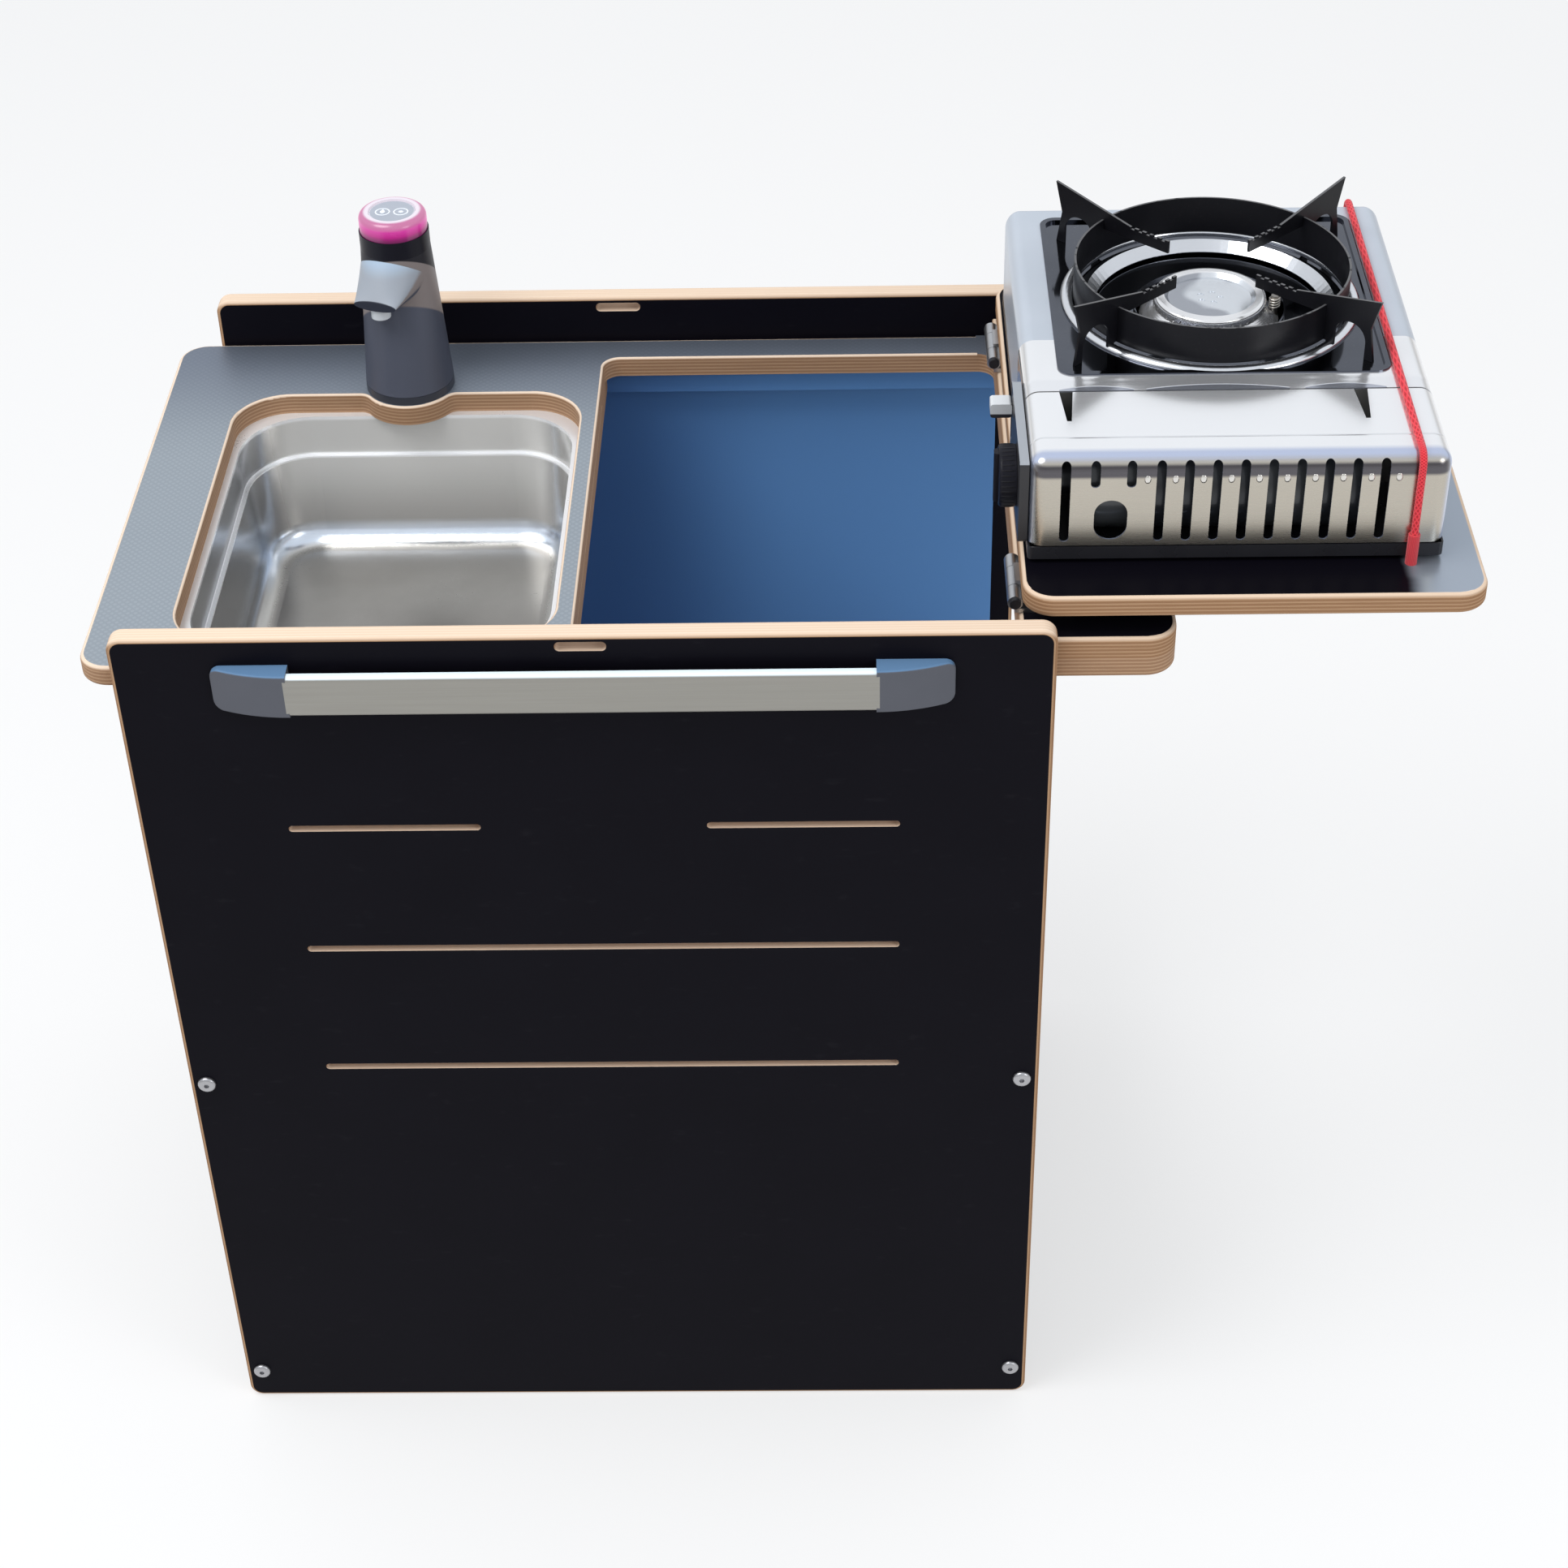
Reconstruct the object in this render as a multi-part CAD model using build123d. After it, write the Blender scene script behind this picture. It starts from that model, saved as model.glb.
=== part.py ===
from build123d import *
import math
import os

# Campervan kitchen pod. Millimetres, +Z up, origin on the floor under the middle of the carcass.
# The front panel faces -Y, the lid folds open over the right end, towards +X.

# Boards
board = 15
edge_round = 3
panel_corner = 10
pod_width = 600
pod_depth = 450
pod_height = 718
panel_rise = 34
board_gap = 3
overrun = 2
screw_fit = 0.05
seat_gap = 0.3
slot_end_share = 0.98

# Vent slots and strap slots in the panels
vent_height = 5
vent_span = 403
vent_middle_gap = 149
vent_top_z = 565
vent_mid_z = 460
vent_low_z = 350
strap_slot_length = 33
strap_slot_height = 7
strap_slot_drop = 8

# Worktop, sink cut-out and well
left_overhang = 27.5
right_overhang = 78
plan_corner = 20
cut_edge_round = 2
sink_cut_x = 250
sink_left_margin = 54.5
sink_far_margin = 75.5
sink_corner = 38
strip_width = 13
cut_margin = 27.5
well_right_margin = 22
well_corner = 12

# Lower carcass
end_inset = 4.5
end_height = 365
cleat_size = 20
cleat_screw_spacing = 170

# Lid and hinges
axis_inset = 2.5
lid_setback = 3.5
lid_length = 293
lid_side_gap = 5
lid_corner = 20
hinge_end_margin = 53
hinge_length = 50
knuckle_radius = 5
knuckle_share = 0.42
hinge_pin_radius = 2
pin_head_radius = 3.6
pin_head_length = 2
hinge_gap = 0.4
leaf_thickness = 3
leaf_reach = 38
leaf_screw_reach = 24
leaf_screw_spacing = 30
buffer_radius = 12
buffer_count = 3
buffer_side_margin = 57
buffer_end_margin = 16.5
buffer_round = 2
run_fit = 0.05

# Screws
small_screw_radius = 1.8
small_head_radius = 3.6
small_head_depth = 2
small_screw_length = 11
panel_screw_radius = 2.5
panel_screw_length = 50
panel_head_radius = 6.5
panel_head_height = 3
panel_crown_share = 0.8
panel_screw_low_z = 29
panel_screw_high_z = 334
hex_socket = 4
hex_depth = 2

# Front handle
handle_drop = 36
handle_bar_length = 372
handle_height = 30
handle_thickness = 8
handle_gap = 6
handle_cap_length = 50
handle_lip = 2
handle_bar_round = 3
handle_cap_corner = 7
handle_cap_round = 1.5
handle_screw_spacing = 16
handle_screw_grip = 7

# Sink pan
rim_width = 12.5
pan_sheet = 1
pan_lap_x = 5
pan_lap_y = 5.5
pan_corner = 48
pan_depth = 100
pan_step_depth = 31
pan_step_in = 3
pan_draft = 6
pan_floor_round = 18
frame_clear = 3
frame_side_clear = 20.5
tap_hose_clear = 1

# Tap
tap_side_shift = 2
tap_far_margin = 60
tap_radius = 32
tap_top_radius = 24.8
tap_base_height = 6
tap_body_height = 107
tap_wall = 3
tap_spigot_radius = 14
tap_spigot_height = 8
tap_tail_radius = 5
tap_tail_bore = 3.5
tap_tail_drop = 42
barb_height = 6
barb_rise = 1
bulge_margin = 2.5
bulge_round = 9
collar_height = 13
ring_height = 14
ring_radius = 24
ring_round_share = 0.35
button_radius = 16.5
button_gap = 0.4
button_height = 9
button_dish = 1
spout_angle = 18
spout_reach = 42
spout_tip_width = 32
spout_tip_height = 7
spout_drop = 28
spout_tilt = 39
spout_side_drop = 21
spout_swell = 1.2
nozzle_radius = 7
nozzle_length = 6
nozzle_reach = 8
keel_low_radius = 20.5
keel_top_radius = 17
keel_top_shift = 11.5
tap_screw_offset = 22
battery_radius = 9.2
battery_length = 65

# Stove
stove_left_margin = 4
stove_length = 263.5
stove_width = 337
stove_shift = 3.5
foot_height = 3
foot_radius = 8
foot_inset = 20
stove_height = 73.5
sheet = 1.2
tray_height = 9
stove_edge = 10
stove_far_edge = 4
cover_edge = 9
cover_width = 84
cover_gap = 1.4
cover_low_gap = 1
cover_axis_in = 10
cover_axis_drop = 4.5
cover_flange = 20
cover_pin_radius = 1.2
cover_ear_in = 12
cover_ear_radius = 3
bracket_half = 2
bracket_drop = 16
bracket_foot = 3
notch_length = 36
notch_wide = 9
notch_narrow = 3
notch_left_in = 27
notch_right_in = 47.5
shield_back = 1.2
bright_depth = 66
burner_y = 40
drip_x = 211
drip_y = 212
drip_shift = 7.5
drip_corner = 8
drip_ledge = 2
drip_dish_radius = 84
drip_depth = 10
drip_flange = 3
drip_sheet = 1
drip_hole_radius = 50
drip_lip = 3
part_gap = 0.3
burner_radius = 36
burner_taper_share = 0.6
burner_skirt_radius = 47
burner_skirt_height = 10
burner_bowl_height = 10
burner_neck_radius = 11
cap_radius = 38
cap_height = 7
cap_dish_radius = 31
cap_dish = 3
cap_lift = 3
port_width = 1.4
port_depth = 3
port_count = 40
cap_hole_radius = 2.2
cap_hole_ring = 7
cap_hole_count = 5
electrode_radius = 2.5
electrode_reach = 44
electrode_rise = 4
pipe_radius = 3
pipe_bend = 16
pipe_lift = 14
cartridge_radius = 33.9
cartridge_length = 186
cartridge_shoulder = 8
cartridge_collar_radius = 13
cartridge_collar = 10
cartridge_wall = 0.8
cartridge_valve_radius = 1.5
cartridge_left = 28
regulator_radius = 15
regulator_length = 15
panel_box_thickness = 6
panel_box_near = 5
panel_box_width = 103
panel_box_rise = 59
knob_radius = 20
knob_thickness = 14
knob_dish = 2
knob_grip_width = 7
knob_grip_rise = 3
spindle_radius = 4
lever_width = 12
lever_height = 10
lever_reach = 14
lever_travel = 22
lever_shift = 100
lever_rise = 53
lever_slot_gap = 0.5
lever_blade = 4

# Slots along the cartridge cover
slot_width = 6
slot_first = 22.5
slot_short_first = 41
slot_short_pitch = 22.5
slot_short_count = 2
slot_short_length = 18
slot_row_first = 82
slot_pitch = 17.4
slot_row_count = 9
slot_low = 3
slot_high = 2.5
slot_reach_share = 0.7
window_x = 51.5
window_width = 21
window_height = 29
window_rise = 29

# Pan support
ring_band_radius = 91.5
ring_band_low = 2.5
ring_band_height = 25.5
ring_band = 1.5
arm_thickness = 1.8
arm_inner = 36
arm_knee = 68
arm_tip_x = 99
arm_tip_y = 89
arm_tip_height = 43.5
arm_top_height = 30
arm_inner_depth = 9
arm_waist = 127
arm_foot_outer = 131
arm_foot_inner = 94
arm_window_inner = 100
arm_window_outer = 124
arm_window_top = 22
arm_tooth_rise = 1.5
arm_tooth_count = 5

# Elastic cord over the stove
cord_diameter = 5
cord_right_margin = 20.5
knot_radius = 6
knot_cut = 4
cord_hole_gap = 0.7
sleeve_radius = 3.8
sleeve_length = 22

# Worked-out places
inner_y = pod_depth / 2 - board
worktop_top = pod_height - panel_rise
worktop_low = worktop_top - board
left_end = -pod_width / 2 - left_overhang
right_end = pod_width / 2 + right_overhang
worktop_y = inner_y - board_gap
lid_y = inner_y - lid_side_gap
sink_center_x = left_end + sink_left_margin + sink_cut_x / 2
sink_near_y = cut_margin - worktop_y
sink_far_y = worktop_y - sink_far_margin
sink_center_y = (sink_near_y + sink_far_y) / 2
sink_cut_y = sink_far_y - sink_near_y
pan_inner_x = sink_cut_x - 2 * pan_lap_x
pan_inner_y = sink_cut_y - 2 * pan_lap_y
well_left = sink_center_x + sink_cut_x / 2 + strip_width
well_right = pod_width / 2 - well_right_margin
well_y = worktop_y - cut_margin
hinge_y = lid_y - hinge_end_margin
axis_x = well_right - axis_inset
rail_top = worktop_top + board
axis_z = rail_top + board / 2
lid_left = axis_x + lid_setback
lid_right = lid_left + lid_length
lid_low = rail_top + board
lid_top = lid_low + board
end_x = pod_width / 2 - end_inset - board / 2
frame_top = worktop_low - pan_sheet
tap_x = sink_center_x - tap_side_shift
tap_y = worktop_y - tap_far_margin
tap_base_top = worktop_top + tap_base_height
tap_top = tap_base_top + tap_body_height
stove_left = lid_left + stove_left_margin
stove_right = stove_left + stove_length
stove_near = stove_shift - stove_width / 2
stove_far = stove_near + stove_width
stove_low = lid_top + foot_height
stove_top = stove_low + stove_height
tray_top = stove_low + tray_height
cover_line = stove_near + cover_width
bright_end = cover_line + bright_depth
burner_x = (stove_left + stove_right) / 2
drip_top = stove_top + drip_sheet
drip_floor = drip_top - drip_depth
cartridge_y = stove_near + cover_width / 2
cartridge_z = stove_low + stove_height / 2
cord_radius = cord_diameter / 2
cord_x = stove_right - cord_right_margin
cord_side = cord_radius + seat_gap
cord_near = stove_near - sleeve_radius - seat_gap
cord_near_bend = cover_edge + cord_side
cord_far_bend = stove_far_edge + cord_side
cord_far = stove_far + cord_side
cover_y = cover_line - cover_gap
cover_axis_y = cover_y - cover_axis_in
cover_axis_z = stove_top - cover_axis_drop


def block(x0, x1, y0, y1, z0, z1):
    return Pos((x0 + x1) / 2, (y0 + y1) / 2, (z0 + z1) / 2) * Box(x1 - x0, y1 - y0, z1 - z0)


def rod_z(x, y, z0, z1, radius):
    return Pos(x, y, (z0 + z1) / 2) * Cylinder(radius, z1 - z0)


def rod_x(x0, x1, y, z, radius):
    return Pos((x0 + x1) / 2, y, z) * Rot(0, 90, 0) * Cylinder(radius, x1 - x0)


def rod_y(x, y0, y1, z, radius):
    return Pos(x, (y0 + y1) / 2, z) * Rot(90, 0, 0) * Cylinder(radius, y1 - y0)


def slab(x0, x1, y0, y1, z0, z1, corner):
    """A level board with rounded plan corners."""
    outline = Pos((x0 + x1) / 2, (y0 + y1) / 2) * RectangleRounded(x1 - x0, y1 - y0, corner)
    return Pos(0, 0, z0) * extrude(outline, z1 - z0)


def wall(x0, x1, z0, z1, y0, y1, corner):
    """An upright board across the pod, with rounded corners."""
    outline = Pos((x0 + x1) / 2, (z0 + z1) / 2) * RectangleRounded(x1 - x0, z1 - z0, corner)
    return Pos(0, y1, 0) * Rot(90, 0, 0) * extrude(outline, y1 - y0)


def eased(solid, axis, radius):
    """Round both long rims of a board, whose faces look along the axis."""
    faces = solid.faces().filter_by(axis).sort_by(axis)
    return fillet(faces[0].edges() + faces[-1].edges(), radius)


def group(solids):
    """Several separate solids in one node."""
    return Compound(children=list(solids))


def cone_screw(x, y, z, up, radius, head_radius, head_depth, length):
    """A countersunk screw with its flat head at z, driven up or down."""
    head = Pos(0, 0, head_depth / 2) * Cone(head_radius, radius, head_depth)
    shank = Pos(0, 0, length / 2) * Cylinder(radius, length)
    screw = head + shank
    return Pos(x, y, z) * (screw if up else Rot(180, 0, 0) * screw)


def small_screw(x, y, z, up, fit=0):
    return cone_screw(x, y, z, up, small_screw_radius + fit, small_head_radius + fit,
                      small_head_depth, small_screw_length + fit)


def panel_screw_places():
    for side in (-1, 1):
        for z in (panel_screw_low_z, panel_screw_high_z):
            yield side * end_x, z


def panel_screw(x, z, side, fit=0):
    """A button-head screw through a panel into the end of a board; side is -1 at the front."""
    face = side * pod_depth / 2
    tip = side * (pod_depth / 2 - panel_screw_length)
    low, high = min(face, tip), max(face, tip)
    return rod_y(x, low - fit, high + fit, z, panel_screw_radius + fit)


def make_panel_screws():
    screws = []
    for side in (-1, 1):
        for x, z in panel_screw_places():
            face = side * pod_depth / 2
            top = side * (pod_depth / 2 + panel_head_height)
            head = rod_y(x, min(face, top), max(face, top), z, panel_head_radius)
            crown = head.faces().sort_by(Axis.Y)[-1 if side > 0 else 0].edges()
            head = fillet(crown, panel_head_height * panel_crown_share)
            socket = extrude(RegularPolygon(hex_socket / 2, 6), hex_depth, both=True)
            socket = Pos(x, top, z) * Rot(90, 0, 0) * socket
            screws.append(head + panel_screw(x, z, side) - socket)
    return group(screws)


def strap_slot(y0, y1):
    half = strap_slot_length / 2
    z = pod_height - strap_slot_drop
    return wall(-half, half, z - strap_slot_height / 2, z + strap_slot_height / 2,
                y0 - overrun, y1 + overrun, strap_slot_height / 2 * slot_end_share)


def vent_slots(y0, y1):
    half = vent_span / 2
    inner = vent_middle_gap / 2
    spans = [(-half, -inner, vent_top_z), (inner, half, vent_top_z),
             (-half, half, vent_mid_z), (-half, half, vent_low_z)]
    for x0, x1, z in spans:
        yield wall(x0, x1, z - vent_height / 2, z + vent_height / 2, y0 - overrun, y1 + overrun,
                   vent_height / 2 * slot_end_share)


def make_panel(side):
    """The front panel at side -1, the rear panel at side 1."""
    y0 = min(side * inner_y, side * pod_depth / 2)
    y1 = max(side * inner_y, side * pod_depth / 2)
    panel = wall(-pod_width / 2, pod_width / 2, 0, pod_height, y0, y1, panel_corner)
    panel = eased(panel, Axis.Y, edge_round)
    panel -= strap_slot(y0, y1)
    for x, z in panel_screw_places():
        panel -= panel_screw(x, z, side, screw_fit)
    if side < 0:
        for slot in vent_slots(y0, y1):
            panel -= slot
        for x, z in handle_screw_places():
            panel -= handle_screw(x, z, screw_fit)
    return panel


def make_end_panel(side):
    half = board / 2
    panel = block(side * end_x - half, side * end_x + half, -inner_y, inner_y, 0, end_height)
    for z in (panel_screw_low_z, panel_screw_high_z):
        for face in (-1, 1):
            panel -= panel_screw(side * end_x, z, face, screw_fit)
    return panel


def make_base_board():
    half = end_x - board / 2
    return block(-half, half, -inner_y, inner_y, 0, board)


def cleat_screw_places(side):
    for step in (-1, 0, 1):
        yield step * cleat_screw_spacing, side * (inner_y - cleat_size / 2)


def cleat_screw(x, y, fit=0):
    return cone_screw(x, y, worktop_low - cleat_size, True, small_screw_radius + fit,
                      small_head_radius + fit, small_head_depth, cleat_size + small_screw_length + fit)


def make_cleat(side):
    outer = side * inner_y
    inner = side * (inner_y - cleat_size)
    half = end_x - board / 2
    cleat = block(-half, half, min(outer, inner), max(outer, inner), worktop_low - cleat_size, worktop_low)
    for x, y in cleat_screw_places(side):
        cleat -= cleat_screw(x, y, screw_fit)
    return cleat


def make_cleat_screws():
    return group(cleat_screw(x, y) for side in (-1, 1) for x, y in cleat_screw_places(side))


def sink_cut():
    """The sink cut-out, with the bulge of worktop that carries the tap."""
    shape = Pos(sink_center_x, sink_center_y) * RectangleRounded(sink_cut_x, sink_cut_y, sink_corner)
    shape -= Pos(tap_x, tap_y) * Circle(tap_radius + bulge_margin)
    corners = [v for v in shape.vertices() if abs(v.Y - sink_far_y) < seat_gap
               and abs(v.X - tap_x) < tap_radius + bulge_margin]
    shape = fillet(corners, bulge_round)
    return Pos(0, 0, worktop_low - overrun) * extrude(shape, board + 2 * overrun)


def well_cut():
    return slab(well_left, well_right, -well_y, well_y, worktop_low - overrun, worktop_top + overrun,
                well_corner)


def upper_rim(solid, split):
    """The edges of the top face, but for those on the cut at x = split."""
    edges = solid.faces().filter_by(Axis.Z).sort_by(Axis.Z)[-1].edges()
    return [edge for edge in edges if edge.bounding_box().min.X < split - seat_gap]


def make_worktop():
    top = slab(left_end, right_end, -worktop_y, worktop_y, worktop_low, worktop_top, plan_corner)
    top = fillet(top.faces().sort_by(Axis.Z)[0].edges(), edge_round)
    split = well_right - well_corner
    left = top & block(left_end - overrun, split, -pod_depth, pod_depth, worktop_low, worktop_top)
    right = top & block(split, right_end + overrun, -pod_depth, pod_depth, worktop_low, worktop_top)
    right -= well_cut()
    left = fillet(upper_rim(left, split), edge_round) - sink_cut() - well_cut()
    half = well_y + edge_round / 2
    cuts = [edge for edge in upper_rim(left, split) if abs(edge.center().Y) < half
            and edge.center().X > left_end + edge_round + overrun]
    top = fillet(cuts, cut_edge_round) + right
    top -= rod_z(tap_x, tap_y, worktop_low - overrun, worktop_top + overrun, tap_tail_radius + screw_fit)
    for x, y in tap_screw_places():
        top -= small_screw(x, y, tap_base_top, False, screw_fit)
    for side in (-1, 1):
        for x, y in cleat_screw_places(side):
            top -= cleat_screw(x, y, screw_fit)
    return top


def make_lid_rail():
    rail = slab(well_left, right_end, -worktop_y, worktop_y, worktop_top, rail_top, plan_corner)
    rail &= block(well_right, right_end, -worktop_y, worktop_y, worktop_top, rail_top)
    rail = fillet(rail.faces().sort_by(Axis.Z)[-1].edges(), edge_round)
    for x, y in leaf_screw_places():
        rail -= small_screw(x, y, rail_top + leaf_thickness, False, screw_fit)
    return rail


def make_lid_buffers():
    """The rubber buffers on the rail that carry the open lid."""
    buffers = []
    reach = worktop_y - buffer_side_margin
    for step in range(buffer_count):
        y = reach * (2 * step / (buffer_count - 1) - 1)
        buffer = rod_z(right_end - buffer_end_margin, y, rail_top, lid_low, buffer_radius)
        buffers.append(fillet(buffer.edges().filter_by(GeomType.CIRCLE), buffer_round))
    return group(buffers)


def make_lid():
    lid = slab(lid_left, lid_right, -lid_y, lid_y, lid_low, lid_top, lid_corner)
    lid = eased(lid, Axis.Z, edge_round)
    for x, y in leaf_screw_places():
        lid -= small_screw(x, y, lid_low - leaf_thickness, True, screw_fit)
    for y in (cord_near, cord_far):
        lid -= rod_z(cord_x, y, lid_low - overrun, lid_top + overrun, cord_radius + cord_hole_gap)
    return lid


def hinge_centers():
    return (-hinge_y, hinge_y)


def leaf_screw_places():
    for center in hinge_centers():
        for side in (-1, 1):
            yield axis_x + leaf_screw_reach, center + side * leaf_screw_spacing / 2


def knuckle_spans(center, moving):
    """A leaf's stretches of the barrel: the middle on the moving leaf, both ends on the fixed one."""
    half = hinge_length / 2
    middle = hinge_length * knuckle_share / 2
    if moving:
        return [(center - middle, center + middle)]
    return [(center - half, center - middle - hinge_gap), (center + middle + hinge_gap, center + half)]


def make_leaf(center, moving):
    way = 1 if moving else -1
    face = axis_z + way * board / 2
    inner = face - way * leaf_thickness
    low, high = min(face, inner), max(face, inner)
    half = hinge_length / 2
    start = axis_x + knuckle_radius + hinge_gap + edge_round / 2
    leaf = block(start, axis_x + leaf_reach, center - half, center + half, low, high)
    for y0, y1 in knuckle_spans(center, moving):
        leaf += block(axis_x, start, y0, y1, low, high)
        leaf += rod_y(axis_x, y0, y1, axis_z, knuckle_radius)
    leaf -= rod_y(axis_x, center - half, center + half, axis_z, hinge_pin_radius + run_fit)
    for side in (-1, 1):
        leaf -= small_screw(axis_x + leaf_screw_reach, center + side * leaf_screw_spacing / 2, inner, moving,
                            screw_fit)
    return leaf


def make_leaves(moving):
    return group(make_leaf(center, moving) for center in hinge_centers())


def make_hinge_pins():
    pins = []
    for center in hinge_centers():
        half = hinge_length / 2
        pin = rod_y(axis_x, center - half, center + half, axis_z, hinge_pin_radius)
        for side in (-1, 1):
            end = center + side * half
            out = end + side * pin_head_length
            pin += rod_y(axis_x, min(end, out), max(end, out), axis_z, pin_head_radius)
        pins.append(pin)
    return group(pins)


def make_leaf_screws(moving):
    face = lid_low - leaf_thickness if moving else rail_top + leaf_thickness
    return group(small_screw(x, y, face, moving) for x, y in leaf_screw_places())


def handle_screw_places():
    for side in (-1, 1):
        x = side * (handle_bar_length / 2 + handle_cap_length / 2)
        for up in (-1, 1):
            yield x, pod_height - handle_drop + up * handle_screw_spacing / 2


def handle_screw(x, z, fit=0):
    """A countersunk screw from inside the pod, through the panel into a handle cap."""
    tip = -pod_depth / 2 - handle_screw_grip - fit
    head = Pos(x, -inner_y - small_head_depth / 2, z) * Rot(90, 0, 0)
    head = head * Cone(small_head_radius + fit, small_screw_radius + fit, small_head_depth)
    return head + rod_y(x, tip, -inner_y, z, small_screw_radius + fit)


def make_handle_bar():
    z = pod_height - handle_drop
    y0 = -pod_depth / 2 - handle_gap - handle_thickness
    half = handle_bar_length / 2 + handle_lip
    bar = block(-half, half, y0, y0 + handle_thickness, z - handle_height / 2, z + handle_height / 2)
    return fillet(bar.edges().filter_by(Axis.X), handle_bar_round)


def make_handle_cap(side):
    """A plastic end cap that stands on the panel, curves back to its tip and holds the bar's end."""
    z = pod_height - handle_drop
    face = -pod_depth / 2
    front = face - handle_gap - handle_thickness
    inner = handle_bar_length / 2
    outer = inner + handle_cap_length
    tip = face - handle_gap / 2
    outline = Polyline((outer, tip), (outer, face), (inner, face), (inner, front))
    outline += TangentArc((inner, front), (outer, tip), tangent=(1, 0))
    half = (handle_height + handle_lip) / 2
    cap = Pos(0, 0, z - half) * extrude(make_face(outline), 2 * half)
    cap &= wall(-outer, outer, z - half, z + half, front - overrun, face, handle_cap_corner)
    bow = cap.faces().sort_by(Axis.Y)[0]
    cap = fillet([edge for edge in bow.edges() if edge.bounding_box().max.X > inner + seat_gap],
                 handle_cap_round)
    if side < 0:
        cap = mirror(cap, Plane.YZ)
    cap -= make_handle_bar()
    for x, z_screw in handle_screw_places():
        if x * side > 0:
            cap -= handle_screw(x, z_screw, screw_fit)
    return cap


def make_handle_caps():
    return group(make_handle_cap(side) for side in (-1, 1))


def make_handle_screws():
    return group(handle_screw(x, z) for x, z in handle_screw_places())


def pan_section(grow, z):
    """The pan's outline at a height, grown from the inner size at the rim."""
    outline = RectangleRounded(pan_inner_x + 2 * grow, pan_inner_y + 2 * grow, pan_corner + grow)
    return Pos(sink_center_x, sink_center_y, z) * outline


def pan_body(grow):
    """The pan's filled shape: a straight collar, a step inwards and a tapered bowl."""
    step_z = frame_top - pan_step_depth
    floor_z = frame_top - pan_depth - grow
    collar = extrude(pan_section(grow, step_z - grow), pan_step_depth + grow)
    bowl = loft([pan_section(grow - pan_step_in - pan_draft, floor_z),
                 pan_section(grow - pan_step_in, step_z)])
    bowl = fillet(bowl.faces().sort_by(Axis.Z)[0].edges(), pan_floor_round + grow)
    return collar + bowl


def make_sink_pan():
    rim = extrude(pan_section(rim_width, frame_top), pan_sheet)
    inside = pan_body(0) + extrude(pan_section(0, frame_top - overrun), overrun + pan_sheet + overrun)
    return rim + pan_body(pan_sheet) - inside


def make_pan_frame():
    """The ply ring under the worktop that clamps the pan's rim."""
    outer_y = inner_y - frame_side_clear
    x0 = sink_center_x - pan_inner_x / 2 - rim_width - frame_side_clear / 2
    ring = block(x0, well_left, -outer_y, outer_y, frame_top - board, frame_top)
    low = frame_top - board - overrun
    ring -= extrude(pan_section(pan_sheet + frame_clear, low), board + 2 * overrun)
    ring -= rod_z(tap_x, tap_y, low, frame_top + overrun, tap_tail_radius + tap_hose_clear)
    return ring


def make_pan_shims():
    """Packing strips as thick as the rim, between the frame and the worktop beside the pan."""
    outer_y = inner_y - frame_side_clear
    x0 = sink_center_x - pan_inner_x / 2 - rim_width - frame_side_clear / 2
    rim_y = pan_inner_y / 2 + rim_width
    near = block(x0, well_left, -outer_y, sink_center_y - rim_y - seat_gap, frame_top, worktop_low)
    far = block(x0, well_left, sink_center_y + rim_y + seat_gap, outer_y, frame_top, worktop_low)
    far -= rod_z(tap_x, tap_y, frame_top - overrun, worktop_low + overrun, tap_tail_radius + tap_hose_clear)
    return group([near, far])


def tap_screw_places():
    return [(tap_x - tap_screw_offset, tap_y), (tap_x + tap_screw_offset, tap_y)]


def make_tap_base():
    base = rod_z(tap_x, tap_y, worktop_top, tap_base_top, tap_radius)
    top = tap_base_top
    base += rod_z(tap_x, tap_y, top - overrun, top + tap_spigot_height, tap_spigot_radius)
    base -= rod_z(tap_x, tap_y, worktop_top - overrun, top + tap_spigot_height + overrun,
                  tap_tail_radius + screw_fit)
    for x, y in tap_screw_places():
        base -= small_screw(x, y, top, False, screw_fit)
    return base


def make_tap_base_screws():
    top = tap_base_top
    return group(small_screw(x, y, top, False) for x, y in tap_screw_places())


def make_tap_tail():
    """The water tube, with hose barbs below the worktop."""
    top = tap_base_top + tap_spigot_height
    low = worktop_top - tap_tail_drop
    tail = rod_z(tap_x, tap_y, low, top, tap_tail_radius)
    for step in (0, 1):
        z = low + step * barb_height
        barb = Cone(tap_tail_radius - barb_rise, tap_tail_radius + barb_rise, barb_height)
        tail += Pos(tap_x, tap_y, z + barb_height / 2) * barb
    return tail - rod_z(tap_x, tap_y, low - overrun, top + overrun, tap_tail_bore)


def spout():
    """The short beak: from a slanting oval round the body it runs out and down to a flat lip."""
    tilt = math.radians(spout_tilt)
    root = Plane(origin=(0, 0, tap_top - spout_side_drop), x_dir=(1, 0, 0),
                 z_dir=(0, -math.sin(tilt), -math.cos(tilt)))
    tip = Plane(origin=(0, -spout_reach, tap_top - spout_drop), x_dir=(1, 0, 0), z_dir=(0, -1, 0))
    oval = root * Ellipse(tap_top_radius + spout_swell, tap_top_radius / math.cos(tilt))
    lip = tip * Ellipse(spout_tip_width / 2, spout_tip_height / 2)
    beak = loft([oval, lip])
    return Pos(tap_x, tap_y, 0) * Rot(0, 0, -spout_angle) * beak


def nozzle_place():
    angle = math.radians(spout_angle)
    reach = spout_reach - nozzle_radius - tap_wall / 2
    return tap_x - reach * math.sin(angle), tap_y - reach * math.cos(angle)


def spout_low_z():
    """Height of the beak's flat underside."""
    return tap_top - spout_drop - spout_tip_height / 2


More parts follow.
